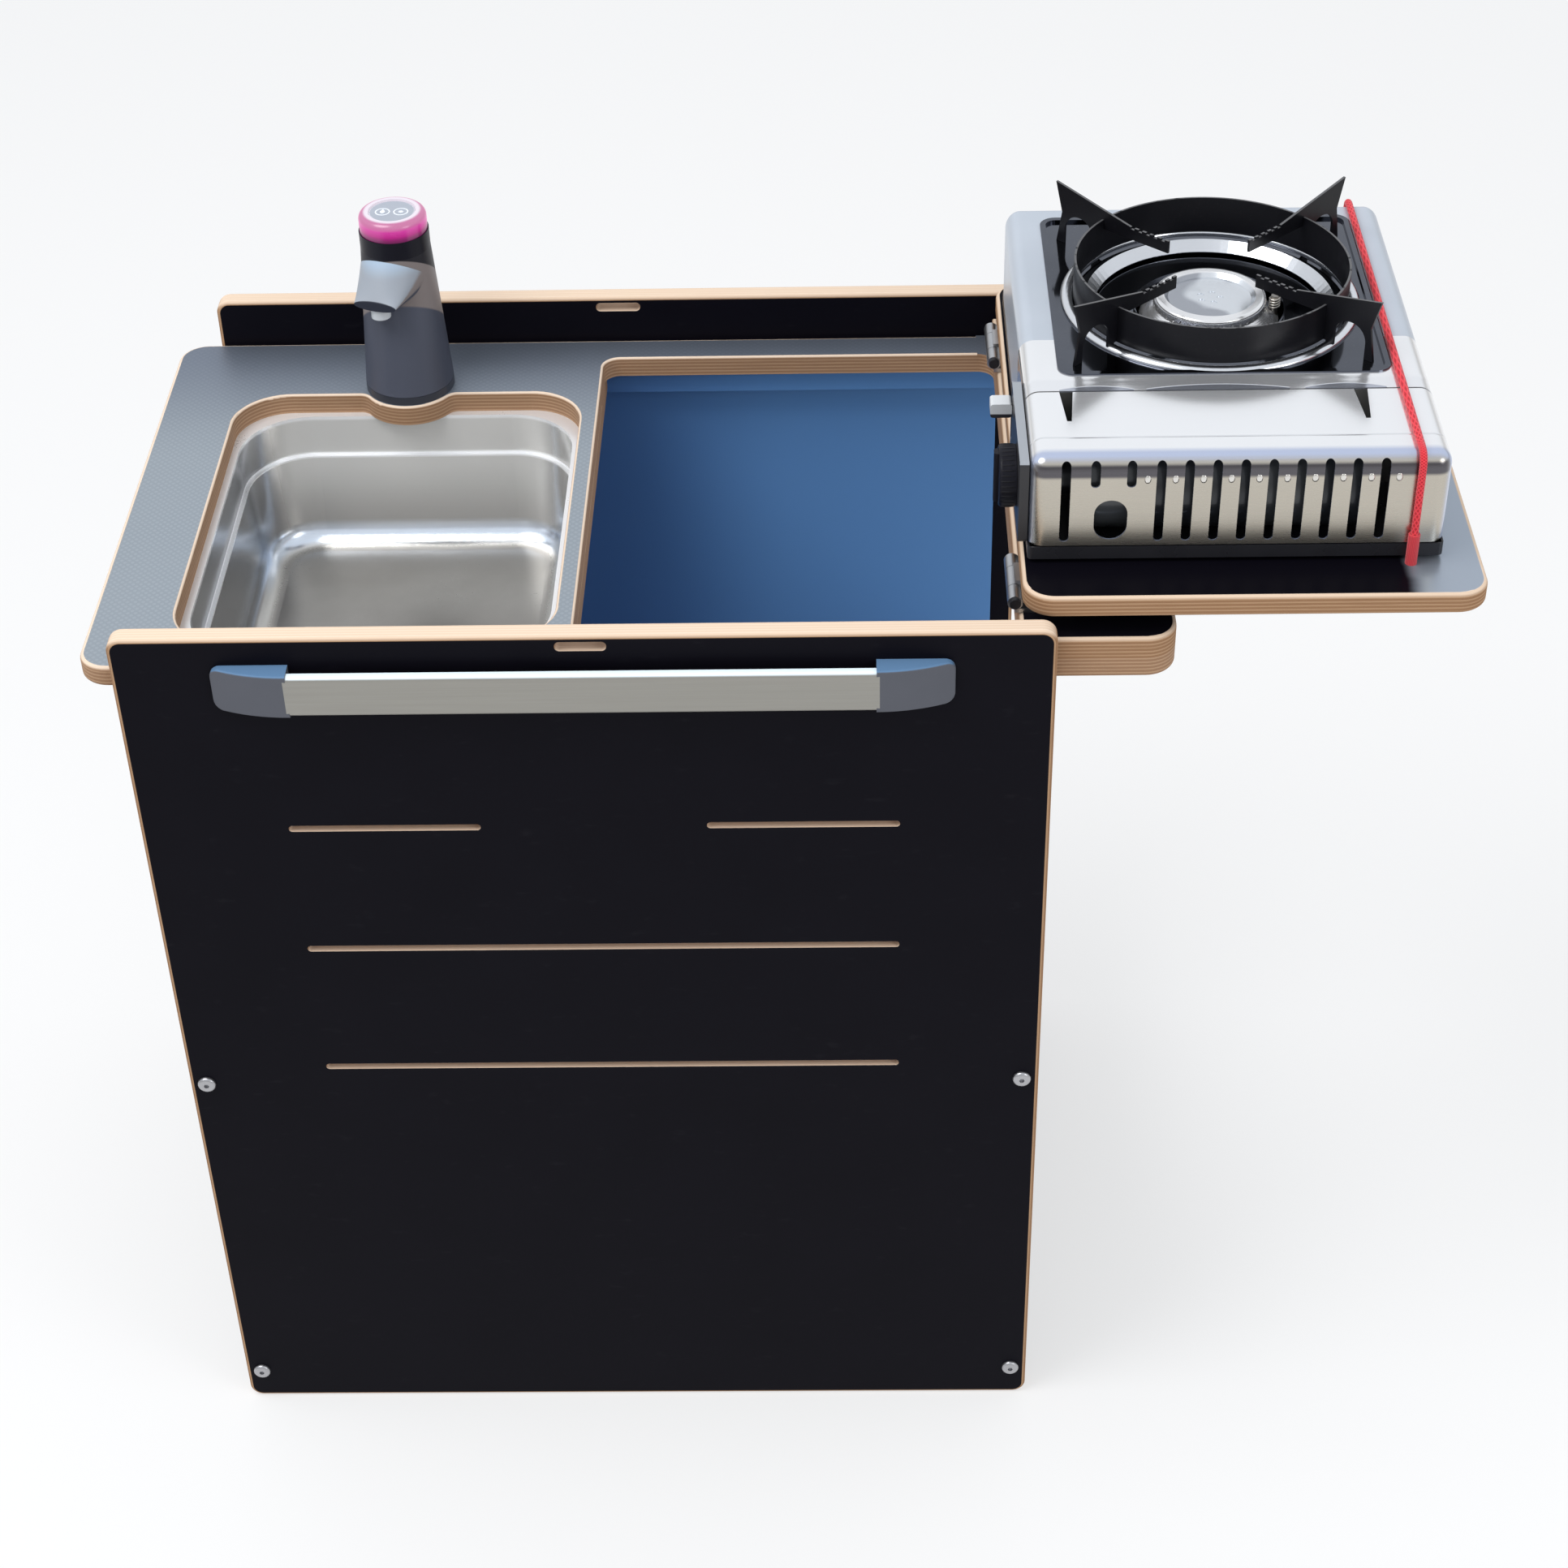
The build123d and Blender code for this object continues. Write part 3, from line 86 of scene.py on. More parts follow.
class Finish:
    # one material: a Principled shader and the nodes that feed it
    def __init__(self, name):
        self.material = bpy.data.materials.new(name)
        self.material.use_nodes = True
        self.tree = self.material.node_tree
        self.tree.nodes.clear()
        self.shader = self.tree.nodes.new("ShaderNodeBsdfPrincipled")
        output = self.tree.nodes.new("ShaderNodeOutputMaterial")
        self.tree.links.new(self.shader.outputs[0], output.inputs["Surface"])
        place = self.tree.nodes.new("ShaderNodeTexCoord")
        self.place = Value(self, place.outputs["Object"])
        self.facing = Value(self, place.outputs["Normal"])

    def feed(self, socket, value):
        if isinstance(value, Value):
            self.tree.links.new(value.socket, socket)
        elif value is not None:
            if socket.type == "RGBA" and len(value) == 3:
                value = (*value, 1.0)
            socket.default_value = value

    def node(self, kind, settings, sockets, out=0):
        made = self.tree.nodes.new(kind)
        for key, setting in settings.items():
            setattr(made, key, setting)
        for key, value in sockets.items():
            self.feed(made.inputs[key], value)
        return Value(self, made.outputs[out])

    def maths(self, operation, first, second=None):
        return self.node("ShaderNodeMath", {"operation": operation}, {0: first, 1: second})

    def axes(self, vector):
        made = self.tree.nodes.new("ShaderNodeSeparateXYZ")
        self.feed(made.inputs[0], vector)
        return [Value(self, socket) for socket in made.outputs]

    def mix(self, share, first, second):
        return self.node("ShaderNodeMix", {"data_type": "RGBA"}, {0: share, 6: first, 7: second}, 2)

    def step(self, value, low, high):
        return self.node("ShaderNodeMapRange", {"interpolation_type": "SMOOTHSTEP"},
                         {"Value": value, "From Min": low, "From Max": high, "To Min": 0.0, "To Max": 1.0})

    def ramp(self, value, stops):
        made = self.node("ShaderNodeValToRGB", {}, {"Fac": value})
        setStops(made.socket.node.color_ramp, stops)
        return made

    def reach(self, centre):
        # distance from the upright line through centre
        x, y = self.axes(self.place)[:2]
        dx = x - centre["x"]
        dy = y - centre["y"]
        return self.maths("SQRT", dx * dx + dy * dy)

    def noise(self, scale, detail=2.0, stretch=(1, 1, 1)):
        place = self.node("ShaderNodeMapping", {}, {"Vector": self.place, "Scale": stretch})
        return self.node("ShaderNodeTexNoise", {}, {"Vector": place, "Scale": scale, "Detail": detail})

    def bump(self, height, strength, distance):
        return self.node("ShaderNodeBump", {}, {"Strength": strength, "Distance": distance, "Height": height})

    def surface(self, **sockets):
        names = {"colour": "Base Color", "rough": "Roughness", "metal": "Metallic", "normal": "Normal",
                 "coat": "Coat Weight", "coatRough": "Coat Roughness", "specular": "Specular IOR Level",
                 "glow": "Emission Color", "glowLevel": "Emission Strength", "sheen": "Sheen Weight"}
        for key, value in sockets.items():
            self.feed(self.shader.inputs[names[key]], value)


def dress(finish, *names):
    for name in names:
        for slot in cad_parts[name].material_slots:
            slot.material = finish.material


view = {"place": (0.1662, -1.7413, 1.7865), "yaw": -1.522, "pitch": 38.06, "roll": -1.456,
        "focalPixels": 3650.97, "imagePixels": 1932, "sensor": 36.0, "farClip": 30}


def makeCamera():
    yaw, pitch, roll = (math.radians(view[key]) for key in ("yaw", "pitch", "roll"))
    forward = Vector((math.sin(yaw) * math.cos(pitch), math.cos(yaw) * math.cos(pitch), -math.sin(pitch)))
    right = Vector((math.cos(yaw), -math.sin(yaw), 0))
    up = right.cross(forward)
    tiltedRight = math.cos(roll) * right + math.sin(roll) * up
    tiltedUp = -math.sin(roll) * right + math.cos(roll) * up
    lens = bpy.data.cameras.new("camera")
    lens.sensor_width = view["sensor"]
    lens.lens = view["sensor"] * view["focalPixels"] / view["imagePixels"]
    lens.clip_end = view["farClip"]
    camera = bpy.data.objects.new("camera", lens)
    turn = Matrix((tiltedRight, tiltedUp, -forward)).transposed().to_4x4()
    camera.matrix_world = Matrix.Translation(view["place"]) @ turn
    bpy.context.scene.collection.objects.link(camera)
    bpy.context.scene.camera = camera


studio = {"zenith": (0.93, 0.96, 1.0), "horizon": (0.50, 0.49, 0.48), "low": (0.80, 0.79, 0.78),
          "lowEnd": 0.5, "horizonAt": 0.53, "zenithAt": 0.66, "worldLevel": 0.86, "aim": (0.1, 0, 0.5),
          "keyPower": 40, "keySize": 1.6, "keyPlace": (-1.1, -0.6, 2.8), "fillPower": 12, "fillSize": 1.2,
          "fillPlace": (2.0, -1.6, 1.6), "floorColour": (0.86, 0.86, 0.86), "floorSize": 9.0,
          "floorGlow": 0.55}


def makeWorld():
    world = bpy.data.worlds.new("studio")
    world.use_nodes = True
    bpy.context.scene.world = world
    tree = world.node_tree
    tree.nodes.clear()
    place = tree.nodes.new("ShaderNodeTexCoord")
    split = tree.nodes.new("ShaderNodeSeparateXYZ")
    ramp = tree.nodes.new("ShaderNodeValToRGB")
    soft = tree.nodes.new("ShaderNodeBackground")
    output = tree.nodes.new("ShaderNodeOutputWorld")
    setStops(ramp.color_ramp, ((0.0, studio["low"]), (studio["lowEnd"], studio["low"]),
                               (studio["horizonAt"], studio["horizon"]),
                               (studio["zenithAt"], studio["zenith"]), (1.0, studio["zenith"])))
    half = tree.nodes.new("ShaderNodeMapRange")
    half.inputs["From Min"].default_value = -1.0
    tree.links.new(place.outputs["Generated"], split.inputs[0])
    tree.links.new(split.outputs[2], half.inputs["Value"])
    tree.links.new(half.outputs[0], ramp.inputs["Fac"])
    tree.links.new(ramp.outputs[0], soft.inputs["Color"])
    soft.inputs["Strength"].default_value = studio["worldLevel"]
    tree.links.new(soft.outputs[0], output.inputs["Surface"])


def makeLamp(name, power, size, place):
    light = bpy.data.lights.new(name, "AREA")
    light.energy = power
    light.shape = "DISK"
    light.size = size
    lamp = bpy.data.objects.new(name, light)
    aim = Vector(studio["aim"]) - Vector(place)
    lamp.matrix_world = Matrix.Translation(place) @ aim.to_track_quat("-Z", "Y").to_matrix().to_4x4()
    bpy.context.scene.collection.objects.link(lamp)


def makeFloor():
    half = studio["floorSize"] / 2
    corners = [(-half, -half, 0), (half, -half, 0), (half, half, 0), (-half, half, 0)]
    mesh = bpy.data.meshes.new("floor")
    mesh.from_pydata(corners, [], [(0, 1, 2, 3)])
    floor = bpy.data.objects.new("floor", mesh)
    bpy.context.scene.collection.objects.link(floor)
    finish = Finish("floorPaper")
    finish.surface(colour=studio["floorColour"], rough=0.9, specular=0.1)
    tree = finish.tree
    glow = tree.nodes.new("ShaderNodeEmission")
    path = tree.nodes.new("ShaderNodeLightPath")
    either = tree.nodes.new("ShaderNodeMixShader")
    seen = finish.maths("MAXIMUM", Value(finish, path.outputs["Is Camera Ray"]),
                        Value(finish, path.outputs["Is Glossy Ray"]))
    seen = finish.maths("MAXIMUM", seen, Value(finish, path.outputs["Is Transmission Ray"]))
    output = next(node for node in tree.nodes if node.type == "OUTPUT_MATERIAL")
    finish.feed(either.inputs[0], seen * studio["floorGlow"])
    tree.links.new(finish.shader.outputs[0], either.inputs[1])
    tree.links.new(glow.outputs[0], either.inputs[2])
    tree.links.new(either.outputs[0], output.inputs["Surface"])
    mesh.materials.append(finish.material)


makeCamera()
makeWorld()
makeLamp("keyLamp", studio["keyPower"], studio["keySize"], studio["keyPlace"])
makeLamp("fillLamp", studio["fillPower"], studio["fillSize"], studio["fillPlace"])
makeFloor()
bpy.context.scene.view_settings.view_transform = "Standard"
print("camera, light and floor ready")


ply = {"layer": 0.00136, "sway": 0.22, "glueShare": 0.11, "filmFrom": 0.985, "filmTo": 0.996,
       "pale": (0.76, 0.61, 0.48), "brown": (0.70, 0.53, 0.39),
       "glue": (0.42, 0.27, 0.17), "shadedSidePale": (0.43, 0.265, 0.155), "shadedSideBrown": (0.27, 0.145, 0.075),
       "shadedSideGlue": (0.16, 0.085, 0.05), "black": (0.0036, 0.0032, 0.0058),
       "blackLight": (0.0055, 0.0050, 0.0085), "scuff": (0.025, 0.025, 0.030), "insideX": 0.2825,
       "insideY": 0.2115, "insideTop": 0.6685, "shadeFrom": -0.03, "shadeTo": 0.13,
       "insideBlue": (0.115, 0.265, 0.54), "insideShade": (0.062, 0.145, 0.34), "meshPitch": 0.0052,
       "meshGrey": (0.345, 0.387, 0.43), "meshDeep": (0.285, 0.327, 0.372), "meshLight": (0.44, 0.49, 0.53),
       "meshPaintedReflection": (0.13, 0.155, 0.215), "reflectionFrom": 0.04, "reflectionTo": 0.20, "bare": (0.70, 0.52, 0.34),
       "bareDeep": (0.60, 0.41, 0.25)}


def plyEdge(finish, along):
    # layers stacked along the board's thickness, with glue lines and streaks
    place = finish.axes(finish.place)[along]
    layers = place / ply["layer"] + finish.noise(9.0, 1.0) * ply["sway"]
    share = finish.maths("FRACT", layers)
    odd = finish.maths("FRACT", finish.maths("FLOOR", layers) * 0.5) > 0.2
    streaks = finish.noise(260.0, 3.0, tuple(3.0 if index == along else 0.10 for index in range(3)))
    pores = finish.noise(900.0, 2.0)
    # painted light: the upper rims are painted paler, as if lit from above, and the cut sides below them
    # darker, as in shade
    upward = finish.step(finish.axes(finish.facing)[2], 0.15, 0.80)
    pale = finish.mix(upward, ply["shadedSidePale"], ply["pale"])
    brown = finish.mix(upward, ply["shadedSideBrown"], ply["brown"])
    wood = finish.mix(odd * 0.75, pale, brown)
    wood = finish.mix(finish.step(streaks, 0.45, 0.75) * 0.30, wood, brown)
    wood = finish.mix(finish.step(pores, 0.58, 0.75) * odd * 0.35, wood, brown)
    glue = finish.mix(upward, ply["shadedSideGlue"], ply["glue"])
    return finish.mix((share < ply["glueShare"]) * (0.50 - upward * 0.25), wood, glue)


def filmShare(finish, along):
    # one on the board's two faces, none on its cut edges
    return finish.step(abs(finish.axes(finish.facing)[along]), ply["filmFrom"], ply["filmTo"])


def plyBoard(name, along, kind):
    # kind is "black", "blueInside" (black, blue where it lines the pod), "mesh" (grey film) or "bare"
    finish = Finish(name)
    x, y, z = finish.axes(finish.place)
    film = filmShare(finish, along)
    edge = plyEdge(finish, along)
    cloud = finish.noise(14.0, 4.0)
    peel = finish.noise(420.0, 2.0)
    if kind == "mesh":
        wave = 2 * math.pi / ply["meshPitch"]
        grid = finish.maths("MULTIPLY", abs(finish.maths("SINE", (x + y) * (wave / 2))),
                            abs(finish.maths("SINE", (x - y) * (wave / 2))))
        colour = finish.mix(cloud * 0.35, ply["meshGrey"], ply["meshDeep"])
        colour = finish.mix(finish.step(grid, 0.3, 0.8) * 0.40, colour, ply["meshLight"])
        # painted reflection: the film darkens towards the rear panel, as if mirroring the black panel
        colour = finish.mix(finish.step(y, ply["reflectionFrom"], ply["reflectionTo"]) * 0.68, colour, ply["meshPaintedReflection"])
        height = finish.maths("ADD", grid * 0.8, peel * 0.3)
        finish.surface(colour=finish.mix(film, edge, colour), rough=0.66 - film * (0.26 - cloud * 0.10),
                       metal=film * 0.72, normal=finish.bump(height, 0.28, 0.0002), specular=0.35)
    elif kind == "bare":
        grain = finish.noise(30.0, 5.0, (0.25, 3.0, 3.0))
        face = finish.mix(finish.step(grain, 0.35, 0.7), ply["bare"], ply["bareDeep"])
        finish.surface(colour=finish.mix(film, edge, face), rough=0.62 + grain * 0.15,
                       normal=finish.bump(grain, 0.3, 0.0002), specular=0.3)
    else:
        scuff = finish.step(finish.noise(60.0, 5.0, (1, 1, 3)), 0.62, 0.8)
        colour = finish.mix(cloud, ply["black"], ply["blackLight"])
        colour = finish.mix(scuff * 0.14, colour, ply["scuff"])
        if kind == "blueInside":
            inside = (abs(y) < ply["insideY"]) * (abs(x) < ply["insideX"]) * (z < ply["insideTop"])
            lit = finish.step(x, ply["shadeFrom"], ply["shadeTo"])
            colour = finish.mix(inside, colour, finish.mix(lit, ply["insideShade"], ply["insideBlue"]))
        finish.surface(colour=finish.mix(film, edge, colour), rough=0.66 - film * (0.30 - cloud * 0.12),
                       normal=finish.bump(peel, 0.10, 0.00012), specular=0.05)
    return finish


dress(plyBoard("frontBoard", 1, "blueInside"), "front_panel", "rear_panel")
dress(plyBoard("endBoard", 0, "blueInside"), "left_end_panel", "right_end_panel")
dress(plyBoard("baseBoard", 2, "blueInside"), "base_board")
dress(plyBoard("worktopBoard", 2, "mesh"), "worktop")
dress(plyBoard("railBoard", 2, "black"), "lid_rail")
dress(plyBoard("cleatBoard", 1, "blueInside"), "front_cleat", "rear_cleat")
dress(plyBoard("bareBoard", 2, "bare"), "pan_frame", "pan_shims")


lidFilm = {"mirrorFrom": 0.519, "mirrorTo": 0.534, "wobble": 0.014, "mirror": (0.40, 0.45, 0.52),
           "mirrorDeep": (0.34, 0.39, 0.46)}


def lidBoard():
    # the lid's film: black where the stove stands, with a painted reflection of the room in grey-blue on its
    # upper face beyond it
    finish = Finish("lidBoard")
    facing = finish.axes(finish.facing)[2]
    x = finish.axes(finish.place)[0]
    film = filmShare(finish, 2)
    cloud = finish.noise(14.0, 4.0)
    wobble = (finish.noise(22.0, 3.0) - 0.5) * lidFilm["wobble"]
    # painted reflection mask: the upper face beyond mirrorFrom, with a wavy edge
    right = finish.step(x + wobble, lidFilm["mirrorFrom"], lidFilm["mirrorTo"]) * (facing > 0.0)
    mirror = finish.mix(cloud * 0.4, lidFilm["mirror"], lidFilm["mirrorDeep"])
    colour = finish.mix(film, plyEdge(finish, 2), finish.mix(right, ply["black"], mirror))
    finish.surface(colour=colour, rough=0.62 - film * (0.36 - cloud * 0.1), metal=film * right * 0.7,
                   specular=0.03, normal=finish.bump(finish.noise(420.0, 2.0), 0.10, 0.00012))
    return finish


dress(lidBoard(), "lid")
print("boards finished")


metals = {"chrome": (0.93, 0.935, 0.95), "zinc": (0.48, 0.48, 0.50), "hinge": (0.56, 0.57, 0.59),
          "plated": (0.62, 0.61, 0.58), "brass": (0.62, 0.47, 0.22), "rod": (0.55, 0.52, 0.48),
          "pressing": (0.80, 0.78, 0.74), "bead": (0.86, 0.88, 0.92), "slope": (0.80, 0.82, 0.86),
          "coil": (0.70, 0.66, 0.60)}


def brushed(name, colour, rough, streak, wear=0.12):
    # steel with fine streaks that run along one axis
    finish = Finish(name)
    fine = finish.noise(700.0, 2.0, streak)
    broad = finish.noise(26.0, 4.0)
    marks = finish.step(finish.noise(140.0, 5.0, (1, 1, 2)), 0.60, 0.78)
    dark = tuple(channel * 0.80 for channel in colour)
    tone = finish.mix(broad * 0.5 + fine * 0.2, colour, dark)
    finish.surface(colour=finish.mix(marks * wear, tone, dark), rough=rough + fine * 0.10 + broad * 0.06,
                   metal=1.0, normal=finish.bump(fine, 0.05, 0.0001))
    return finish


pan = {"shoulder": 0.637, "rim": 0.6675, "floor": 0.5690, "bend": 0.5760, "bendFrom": 0.03, "bendTo": 0.07,
       "wallLow": 0.575, "wallTop": 0.640, "steel": (0.74, 0.735, 0.72), "steelDeep": (0.58, 0.575, 0.56),
       "floorShade": (0.30, 0.285, 0.27), "leftWallShade": (0.22, 0.235, 0.27), "farWallReflection": (0.86, 0.86, 0.84),
       "farWallLowShade": (0.52, 0.51, 0.49), "bendReflection": (0.74, 0.83, 0.96), "edgeHighlight": (0.97, 0.98, 1.0)}


def panSteel():
    # pressed steel with painted light: a painted reflection brightens the far wall, painted shade darkens the
    # drawn floor, the left wall and the far wall's foot
    finish = Finish("panSteel")
    y, z = finish.axes(finish.place)[1:]
    nx, ny, nz = finish.axes(finish.facing)
    fine = finish.noise(700.0, 2.0, (1, 1, 0.04))
    broad = finish.noise(14.0, 4.0)
    floor = finish.step(nz, 0.90, 0.995)
    far = finish.step(-1.0 * ny, 0.55, 0.95)
    left = finish.step(nx, 0.45, 0.9)
    colour = finish.mix(broad * 0.5 + fine * 0.2, pan["steel"], pan["steelDeep"])
    colour = finish.mix(floor * (0.45 + broad * 0.5), colour, pan["floorShade"])
    colour = finish.mix(left * 0.65, colour, pan["leftWallShade"])
    wall = finish.mix(finish.step(z, pan["wallLow"], pan["wallTop"]), pan["farWallLowShade"], pan["farWallReflection"])
    colour = finish.mix(far, colour, wall)
    # painted highlights: bright lines on the step's shoulder and the rim
    shoulder = 1.0 - finish.step(abs(z - pan["shoulder"]), 0.0006, 0.0018)
    rim = finish.step(z, pan["rim"] - 0.0025, pan["rim"])
    bright = finish.maths("MAXIMUM", shoulder, rim)
    # painted reflection: a bluish band on the floor's bend at the far side
    bend = finish.step(z, pan["floor"], pan["floor"] + 0.003)
    bend = bend * (1.0 - finish.step(z, pan["bend"], pan["bend"] + 0.01))
    bend = bend * finish.step(y, pan["bendFrom"], pan["bendTo"]) * 0.8
    colour = finish.mix(bend, colour, pan["bendReflection"])
    colour = finish.mix(bright * 0.85, colour, pan["edgeHighlight"])
    finish.surface(colour=colour, rough=0.14 + fine * 0.08 + broad * 0.08 + floor * 0.08,
                   metal=(1.0 - far * 0.55) * (1.0 - bright * 0.5),
                   normal=finish.bump(fine, 0.05, 0.0001))
    return finish


bar = {"face": (0.35, 0.34, 0.31), "faceDeep": (0.29, 0.28, 0.255), "top": (0.80, 0.92, 1.0)}


def barMetal():
    # anodised strip, with painted sky light on its matt upper face
    finish = Finish("barMetal")
    fine = finish.noise(700.0, 2.0, (0.02, 1, 1))
    upward = finish.step(finish.axes(finish.facing)[2], 0.35, 0.85)
    colour = finish.mix(fine * 0.5, bar["face"], bar["faceDeep"])
    finish.surface(colour=finish.mix(upward, colour, bar["top"]), rough=0.42 + fine * 0.1,
                   metal=0.75 - upward * 0.75, normal=finish.bump(fine, 0.05, 0.0001))
    return finish


dress(panSteel(), "sink_pan")
dress(barMetal(), "handle_bar")
dress(brushed("zincScrews", metals["zinc"], 0.28, (1, 1, 1)), "panel_screws", "cleat_screws",
      "fixed_leaf_screws", "moving_leaf_screws", "handle_screws", "tap_base_screws")
dress(brushed("hingeSteel", metals["hinge"], 0.26, (0.1, 1, 1)), "hinge_fixed_leaves", "hinge_moving_leaves")
dress(brushed("platedSteel", metals["plated"], 0.32, (0.1, 1, 1)), "heat_shield", "gas_pipe",
      "cover_brackets", "cover_pins")
dress(brushed("castBrass", metals["brass"], 0.34, (1, 1, 1)), "gas_regulator")
dress(brushed("igniterRod", metals["rod"], 0.30, (1, 1, 0.2)), "igniter")


cover = {"creaseY": -0.138, "bandLow": 0.7925, "bandHigh": 0.8005, "nearFrom": -0.157, "nearTo": -0.150,
         "near": (0.54, 0.60, 0.77), "front": (0.55, 0.51, 0.44), "frontDeep": (0.46, 0.43, 0.37),
         "band": (0.080, 0.078, 0.098), "crease": (0.45, 0.47, 0.52)}


def coverSteel():
    # polished sheet: white top with a crease and a bluish painted reflection on its near rounding, a dark
    # painted reflection band over the slots, a warm front
    finish = Finish("coverSteel")
    y, z = finish.axes(finish.place)[1:]
    ny, nz = finish.axes(finish.facing)[1:]
    fine = finish.noise(600.0, 2.0, (0.05, 1, 1))
    broad = finish.noise(18.0, 3.0, (0.6, 1, 1))
    front = finish.step(-1.0 * ny, 0.35, 0.9)
    # painted reflection: a dark band across the front over the slots
    band = front * finish.step(z, cover["bandLow"] - 0.002, cover["bandLow"] + 0.001)
    band = band * (1.0 - finish.step(z, cover["bandHigh"] - 0.001, cover["bandHigh"] + 0.0015))
    # painted reflection: the near rounding of the top is tinted blue
    top = finish.mix(finish.step(y, cover["nearFrom"], cover["nearTo"]), cover["near"], metals["chrome"])
    colour = finish.mix(front, top, finish.mix(broad * 0.6, cover["front"], cover["frontDeep"]))
    colour = finish.mix(band * 0.90, colour, cover["band"])
    crease = finish.step(abs(y - cover["creaseY"]), 0.0001, 0.0016)
    colour = finish.mix((1.0 - crease) * 0.25 * (nz > 0.8), colour, cover["crease"])
    finish.surface(colour=colour, rough=0.15 + front * 0.10 + fine * 0.05, metal=0.78 + front * 0.22,
                   normal=finish.bump(crease + fine * 0.012, 0.35, 0.0004))
    return finish


dress(coverSteel(), "cartridge_cover")


strip = {"lenses": ((0.408, 0.046, 0.0052), (0.330, 0.024, 0.0042), (0.490, 0.026, 0.0048)),
         "lensShift": 0.0795, "lens": (0.30, 0.33, 0.42), "dentFrom": -0.0700, "dentTo": -0.0640,
         "dent": (0.55, 0.58, 0.66)}


def stripSteel():
    # the bright strip behind the cover; each lens-shaped pressing is a middle, a half width and a depth
    finish = Finish("stripSteel")
    x, y = finish.axes(finish.place)[:2]
    fine = finish.noise(600.0, 2.0, (0.05, 1, 1))
    lens = None
    for middle, half, deep in strip["lenses"]:
        across = (x - middle) / half
        bow = (1.0 - across * across) * deep
        one = finish.step(bow - (y + strip["lensShift"]), -0.0004, 0.0006) * (abs(across) < 1.0)
        lens = one if lens is None else finish.maths("MAXIMUM", lens, one)
    dent = finish.step(y, strip["dentFrom"], strip["dentTo"])
    # painted shade: the pressings are painted darker and bluer than the chrome, the near edge a little greyer
    colour = finish.mix(lens * 0.70, metals["chrome"], strip["lens"])
    colour = finish.mix((1.0 - dent) * 0.12, colour, strip["dent"])
    finish.surface(colour=colour, rough=0.14 + fine * 0.05, metal=0.80,
                   normal=finish.bump(1.0 - lens + dent * 0.5 + fine * 0.04, 0.4, 0.0008))
    return finish


dress(stripSteel(), "stove_strip")


lacquer = {"pale": (0.56, 0.61, 0.68), "deep": (0.49, 0.54, 0.61)}


def paleSides():
    # the lacquered plate that forms the stove's top and sides
    finish = Finish("paleSides")
    cloud = finish.noise(20.0, 4.0)
    peel = finish.noise(500.0, 2.0)
    finish.surface(colour=finish.mix(cloud, lacquer["pale"], lacquer["deep"]), rough=0.34 + cloud * 0.1,
                   metal=0.35, coat=0.25, coatRough=0.2, normal=finish.bump(peel, 0.06, 0.0001))
    return finish


dress(paleSides(), "stove_top_plate")


drip = {"dark": (0.045, 0.052, 0.070), "light": (0.12, 0.13, 0.16), "dust": (0.42, 0.42, 0.42)}


def darkMirror():
    # glossy dark steel of the drip pan, with soft wipe marks and a little dust
    finish = Finish("darkMirror")
    smear = finish.noise(9.0, 4.0, (1, 1.6, 1))
    dust = finish.step(finish.noise(500.0, 3.0), 0.63, 0.75)
    colour = finish.mix(smear, drip["dark"], drip["light"])
    finish.surface(colour=finish.mix(dust * 0.12, colour, drip["dust"]), rough=0.06 + smear * 0.08,
                   metal=1.0, coat=0.3, coatRough=0.05)
    return finish


dress(darkMirror(), "drip_pan")


paint = {"black": (0.012, 0.012, 0.015), "light": (0.024, 0.024, 0.028), "panel": (0.014, 0.014, 0.017),
         "panelLight": (0.028, 0.028, 0.032), "panelTopSheen": (0.30, 0.32, 0.35)}


def blackPaint(name, rough, grit):
    finish = Finish(name)
    cloud = finish.noise(30.0, 4.0)
    peel = finish.noise(380.0, 3.0)
    colour = finish.mix(cloud, paint["black"], paint["light"])
    finish.surface(colour=colour, rough=rough + cloud * 0.12, specular=0.4,
                   normal=finish.bump(peel, grit, 0.0002))
    return finish


dress(blackPaint("trayPaint", 0.22, 0.08), "stove_tray")
dress(blackPaint("pinPaint", 0.30, 0.05), "hinge_pins")


def panelPaint():
    # the control box: black side, with a grey painted sheen on its top edge
    finish = Finish("panelPaint")
    nz = finish.axes(finish.facing)[2]
    cloud = finish.noise(30.0, 4.0)
    peel = finish.noise(380.0, 3.0)
    side = finish.mix(cloud, paint["panel"], paint["panelLight"])
    colour = finish.mix(nz > 0.6, side, paint["panelTopSheen"])
    finish.surface(colour=colour, rough=0.30 + cloud * 0.12, normal=finish.bump(peel, 0.1, 0.0002))
    return finish


dress(panelPaint(), "control_panel")


can = {"wrap": (0.030, 0.034, 0.040), "band": (0.05, 0.055, 0.06), "bandLight": (0.08, 0.085, 0.09),
       "bandsPerMetre": 9.0}


def canPaint():
    # dark lacquer with slightly paler bands round the can
    finish = Finish("canPaint")
    x = finish.axes(finish.place)[0]
    cloud = finish.noise(24.0, 4.0)
    band = finish.step(abs(finish.maths("FRACT", x * can["bandsPerMetre"]) - 0.5), 0.30, 0.32)
    colour = finish.mix(band, can["wrap"], finish.mix(cloud, can["band"], can["bandLight"]))
    finish.surface(colour=colour, rough=0.26 + cloud * 0.1, metal=0.3, coat=0.3)
    return finish


dress(canPaint(), "gas_cartridge")


enamelTone = {"black": (0.006, 0.006, 0.008), "worn": (0.36, 0.36, 0.37), "fleck": (0.08, 0.08, 0.08),
              "wearHeight": 0.815}


